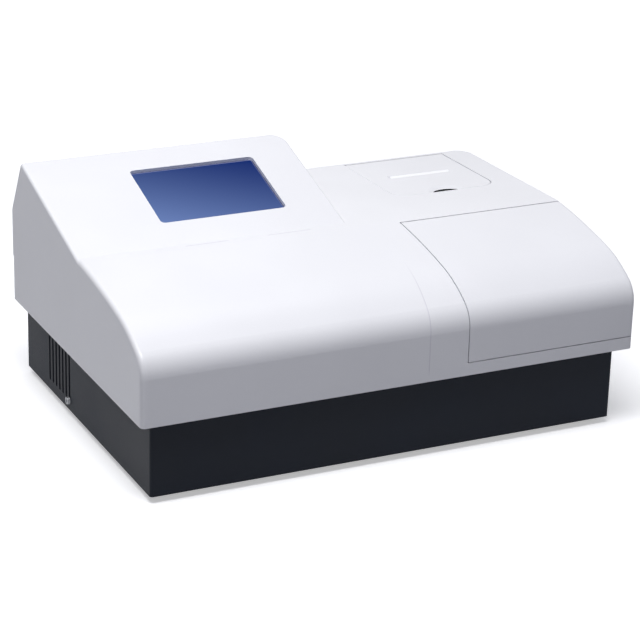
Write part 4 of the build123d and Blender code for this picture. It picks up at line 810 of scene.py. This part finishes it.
tree, (half_width, thickness) = graph("paper_web", half_width=1.0, thickness=1.0)
legs = []
for (y_from, z_from), (y_to, z_to) in zip(web_path, web_path[1:]):
    ends = {"Start": (0.0, y_from, z_from), "End": (0.0, y_to, z_to)}
    legs.append(thickness.make("GeometryNodeCurvePrimitiveLine", ends))
strip = thickness.make("GeometryNodeCurveToMesh", {"Curve": joined(*legs)})
strip = strip.make("GeometryNodeMergeByDistance", {"Geometry": strip, "Distance": 0.00001})
strip = strip.make("GeometryNodeMeshToCurve", {"Mesh": strip})
strip = strip.make("GeometryNodeSetCurveNormal", {"Curve": strip}, mode="Z_UP")
ribbon = strip.make("GeometryNodeCurvePrimitiveQuadrilateral", {"Width": half_width * 2, "Height": thickness})
web = grown(
    tree, moved(swept(strip, ribbon), (roll_middle.x, 0.0, 0.0)), finishes["paper"],
    half_width=(roll_high.x - roll_low.x) / 2 - side_margin, thickness=sheet_thickness,
)
settle("paper_web", web, "base", "paper")

# %% [markdown]
# Small things stand out of a face: marks on a switch, pins in a socket. Each is a block with a flat outline,
# so one helper raises an outline from a point along the face's direction, and another makes a set of blocks
# into a piece. A Boolean would give the same shapes and much worse meshes.

# %% Blocks on a face
def raised(shape, outline, place, normal, depth, tip=1.0):
    """Adds a block with the given outline, (across, up) in metres, standing on a face with this normal."""
    across = Vector((-1, 0, 0))
    up = normal.cross(across)
    count = len(outline)
    lower = [shape.verts.new(place + across * u + up * v) for u, v in outline]
    upper = [shape.verts.new(place + (across * u + up * v) * tip + normal * depth) for u, v in outline]
    shape.faces.new(upper)
    shape.faces.new(list(reversed(lower)))
    for k in range(count):
        shape.faces.new((lower[k], lower[(k + 1) % count], upper[(k + 1) % count], upper[k]))


def plate(width, height, taper=0.0):
    """The outline of a rectangle, or of a trapezium that is narrower at the top by twice the taper."""
    half = width / 2
    rise = height / 2
    return [(-half, -rise), (half, -rise), (half - taper, rise), (-half + taper, rise)]


def keep_blocks(shape, name, body, finish_slot, look=None):
    """Turns a finished set of blocks into a piece, with the slot's finish or a look of its own."""
    bmesh.ops.recalc_face_normals(shape, faces=shape.faces)
    mesh = bpy.data.meshes.new(name)
    shape.to_mesh(mesh)
    shape.free()
    if look:
        mesh.materials.append(look)
    settle(name, mesh, body, finish_slot)


print("block tools ready")

# %% [markdown]
# The rocker carries the usual signs for on and off, a stroke and a ring. They could be letters of a font, but
# two plain shapes need none. A ray finds the tilted face under each of them, so that they lie flat on it,
# and they are tied to the rocker, so they rock with it.

# %% Marks on the rocker
rocker = nodes["power_switch"]
rocker_low, rocker_high = (Vector(corner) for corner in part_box("power_switch"))
rocker_middle = (rocker_low + rocker_high) / 2
behind_machine = 0.2         # Y from which the ray starts
mark_depth = 0.00012
stroke_height = 0.0042       # above the rocker's middle
ring_height = -0.0036        # below it
stroke_size = (0.0006, 0.0028)
ring_inner = 0.0011
ring_outer = 0.0015
ring_parts = 24


def on_rocker(z):
    """The point and the outward direction of the rocker's face at a height."""
    inward = rocker.matrix_world.inverted()
    origin = inward @ Vector((rocker_middle.x, behind_machine, z))
    place, normal = rocker.ray_cast(origin, inward.to_3x3() @ Vector((0, -1, 0)))[1:3]
    return rocker.matrix_world @ place, (rocker.matrix_world.to_3x3() @ normal).normalized()


marks = bmesh.new()
on_place, on_normal = on_rocker(rocker_middle.z + stroke_height)
off_place, off_normal = on_rocker(rocker_middle.z + ring_height)
raised(marks, plate(*stroke_size), on_place, on_normal, mark_depth)
for k in range(ring_parts):
    a = 2 * pi * k / ring_parts
    b = 2 * pi * (k + 1) / ring_parts
    corner_set = [(ring_inner, a), (ring_outer, a), (ring_outer, b), (ring_inner, b)]
    raised(marks, [(r * cos(t), r * sin(t)) for r, t in corner_set], off_place, off_normal, mark_depth)
keep_blocks(marks, "rocker_marks", "rocker_body", "inner_plastic")

# %% [markdown]
# A mains inlet has three flat metal pins deep in its socket, with chamfered tips. Each is a straight block
# with a tapered block on its end. The two are welded where they meet and the face between them is taken
# out, so that each pin is one closed shell.

# %% Pins of the inlet
inlet_low, inlet_high = (Vector(corner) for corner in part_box("power_inlet"))
port_z = (inlet_low.z + inlet_high.z) / 2
inlet_x = (inlet_low.x + inlet_high.x) / 2
backward = Vector((0, 1, 0))
pin_places = ((-0.007, -0.002), (0.007, -0.002), (0.0, 0.002))
pin_size = (0.0022, 0.0042)
pin_setback = 0.0147         # of its foot, from the panel's face
pin_length = 0.0119
tip_length = 0.0012
tip_share = 0.6              # of the pin's size, at its tip
blades = bmesh.new()
for x, z in pin_places:
    foot = Vector((inlet_x + x, panel_face - pin_setback, port_z + z))
    raised(blades, plate(*pin_size), foot, backward, pin_length)
    raised(blades, plate(*pin_size), foot + backward * pin_length, backward, tip_length, tip_share)
bmesh.ops.remove_doubles(blades, verts=blades.verts, dist=1e-6)
inner_faces = [face for face in blades.faces if all(len(edge.link_faces) > 2 for edge in face.edges)]
bmesh.ops.delete(blades, geom=inner_faces, context="FACES_ONLY")
keep_blocks(blades, "inlet_blades", "base", "rod_steel")

# %% [markdown]
# The metal shell of a serial port holds a dark plastic insert in the shape of a D, which gives the connector
# its name. A block with a tapered outline is all of it that shows.

# %% Insert of the serial port
serial_low, serial_high = (Vector(corner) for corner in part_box("serial_port"))
insert_setback = 0.0022      # of its foot, from the panel's face
insert_depth = 0.0016
insert = bmesh.new()
insert_foot = Vector(((serial_low.x + serial_high.x) / 2, panel_face - insert_setback, port_z))
raised(insert, plate(0.0161, 0.0073, taper=0.00129), insert_foot, backward, insert_depth)
keep_blocks(insert, "serial_insert", "base", "dark_plastic")

# %% [markdown]
# A low ramp stands in front of the paper slot. Its slope faces the user, so it catches the light from above
# and hides the slot behind it. Its side view is five points, and the heights of their feet are measured on
# the cover by a ray, so that the ramp sits on the cover however it slopes.

# %% Ramp before the paper slot
slot_setback = 0.05272       # the slot's near edge behind the cover's front edge
ramp_height = 0.0012
ramp_length = 0.0031
ramp_bite = 0.0001           # how far it reaches into the cover
edge_step = 0.0001           # the ray meets the cover this far before the slot
slot_edge = cover_low.y + slot_setback
ramp_half = (roll_high.x - roll_low.x) / 2 + 0.0008


def cover_top(y):
    """The height of the printer cover's upper face at a Y."""
    return nodes["printer_cover"].ray_cast(Vector((notch_x, y, 0.3)), Vector((0, 0, -1)))[1].z


ramp = bmesh.new()
ramp_foot = slot_edge - ramp_length
ramp_outline = [
    (ramp_foot, cover_top(ramp_foot) - ramp_bite),
    (slot_edge, cover_top(slot_edge - edge_step) - ramp_bite),
    (slot_edge, cover_top(slot_edge - edge_step) + ramp_height * 0.8),
    (slot_edge - 0.00025, cover_top(slot_edge - 0.0003) + ramp_height),
    (ramp_foot, cover_top(ramp_foot) + 0.00004),
]
ramp_ends = []
for side in (-1, 1):
    ramp_ends.append([ramp.verts.new((notch_x + side * ramp_half, y, z)) for y, z in ramp_outline])
ramp.faces.new(ramp_ends[0])
ramp.faces.new(list(reversed(ramp_ends[1])))
for k in range(len(ramp_outline)):
    after = (k + 1) % len(ramp_outline)
    ramp.faces.new((ramp_ends[0][k], ramp_ends[0][after], ramp_ends[1][after], ramp_ends[1][k]))
# The ramp is a paler white than the housing's paint: a painted highlight for the light that its slope catches.
ramp_painted_highlight = fine_plastic("ramp_painted_highlight", srgb(249, 249, 252), srgb(254, 254, 255), 0.35)
keep_blocks(ramp, "slot_ramp", "cover", "housing_white", ramp_painted_highlight)

# %% [markdown]
# ## Floor and light
# A product is often shown on white. A floor that is truly white throws so much light back that the upright
# faces lose their shade. So the floor and the backdrop are white only to the eye and in reflections. For
# the light that bounces they are grey, which keeps the faces' own tones and leaves a soft shadow.

# %% White to the eye only
def seen_by_eye(tree):
    """1 for rays that the eye follows, straight or through a mirror or glass, and 0 for the others."""
    rays = tree.nodes.new("ShaderNodeLightPath")
    names = ("Is Camera Ray", "Is Glossy Ray", "Is Transmission Ray")
    straight, mirrored, through = (Signal(tree, rays.outputs[name]) for name in names)
    return (straight + mirrored).math("ADD", through, clamp=True)


print("ray test ready")

# %% [markdown]
# The floor catches the shadow. Far from the machine it glows at full white, so that no horizon shows; near
# the machine the glow is weaker, and what is lit and what is in shadow can differ.

# %% Floor
floor_size = 8.0             # metres from the middle to each side
floor_glow = 0.44            # of full white, near the machine


def studio_floor():
    """Plain floor that takes the shadow: white to the eye, middle grey as a source of bounced light."""
    material, shader, place = finish("floor", Roughness=0.9, Specular_IOR_Level=0.0)
    tree = material.node_tree
    soft = place.noise(3, 1.0, 0.5)
    drive(shader, "Base Color", soft.blend(srgb(132, 132, 136), srgb(136, 136, 140)))
    diffuse = soft.make("ShaderNodeBsdfDiffuse", {"Color": srgb(243, 243, 245)})
    distance = place.make("ShaderNodeVectorMath", {0: place}, out="Value", operation="LENGTH")
    shine = distance.rise(0.4, 1.6).blend((floor_glow, floor_glow, floor_glow, 1.0), (1.0, 1.0, 1.0, 1.0))
    glow = shine.make("ShaderNodeEmission", {"Color": shine, "Strength": 1.0})
    white = diffuse.make("ShaderNodeAddShader", {0: diffuse, 1: glow})
    eye = seen_by_eye(tree)
    bounced = Signal(tree, shader.outputs[0])
    mixed = eye.make("ShaderNodeMixShader", {0: eye, 1: bounced, 2: white})
    tree.links.new(mixed.socket, tree.nodes["Material Output"].inputs["Surface"])
    return material


floor_mesh = bmesh.new()
sides = ((-1, -1), (1, -1), (1, 1), (-1, 1))
floor_mesh.faces.new([floor_mesh.verts.new((x * floor_size, y * floor_size, 0)) for x, y in sides])
floor_data = bpy.data.meshes.new("floor")
floor_mesh.to_mesh(floor_data)
floor_mesh.free()
floor_data.materials.append(studio_floor())
floor = bpy.data.objects.new("floor", floor_data)
bpy.context.scene.collection.objects.link(floor)
print("floor", 2 * floor_size, "metres wide")

# %% [markdown]
# A wide panel hangs nearly overhead and lights the deck and the console. A narrower, stronger one hangs above
# the front left and models the arch. The front and the right get only a weak, bluish fill. One sun would
# be simpler, but it gives hard shadows, and lamps as large as these give the soft ones of a studio.

# %% Lamps
def panel(name, place, target, width, depth, power, colour=(1, 1, 1)):
    """A soft rectangular lamp that looks at a point."""
    data = bpy.data.lights.new(name, "AREA")
    data.shape = "RECTANGLE"
    data.size = width
    data.size_y = depth
    data.energy = power
    data.color = colour
    lamp = bpy.data.objects.new(name, data)
    lamp.location = place
    lamp.rotation_euler = (Vector(target) - Vector(place)).to_track_quat("-Z", "Y").to_euler()
    bpy.context.scene.collection.objects.link(lamp)
    print("lamp", name, power, "W")


panel("overhead", (-0.3, 0.25, 1.7), (0.0, 0.0, 0.1), 2.2, 1.3, 11)
panel("key", (-0.35, -0.48, 1.45), (-0.05, -0.05, 0.1), 1.0, 0.5, 15)
panel("right_front", (1.2, -1.7, 1.5), (0.1, 0.0, 0.1), 1.2, 1.2, 0.6, (0.9, 0.93, 1.0))
panel("front_fill", (-0.2, -2.4, 0.9), (0.0, 0.0, 0.1), 2.2, 1.2, 0.35, (0.85, 0.9, 1.0))

# %% [markdown]
# The world fills the rest of the sky. It works as the floor does: a weak bluish light for what bounces, and
# plain white for what the eye sees.

# %% World
world = bpy.data.worlds.new("studio")
world.use_nodes = True
bpy.context.scene.world = world
tree = world.node_tree
dim = Signal(tree, tree.nodes["Background"].outputs[0])
tree.nodes["Background"].inputs["Color"].default_value = srgb(222, 229, 255)
tree.nodes["Background"].inputs["Strength"].default_value = 0.155
white = dim.make("ShaderNodeBackground", {"Color": (1.0, 1.0, 1.0, 1.0), "Strength": 1.0})
backdrop = dim.make("ShaderNodeMixShader", {0: seen_by_eye(tree), 1: dim, 2: white})
tree.links.new(backdrop.socket, tree.nodes["World Output"].inputs["Surface"])
bpy.context.scene.view_settings.view_transform = "Standard"
print("world and view set")
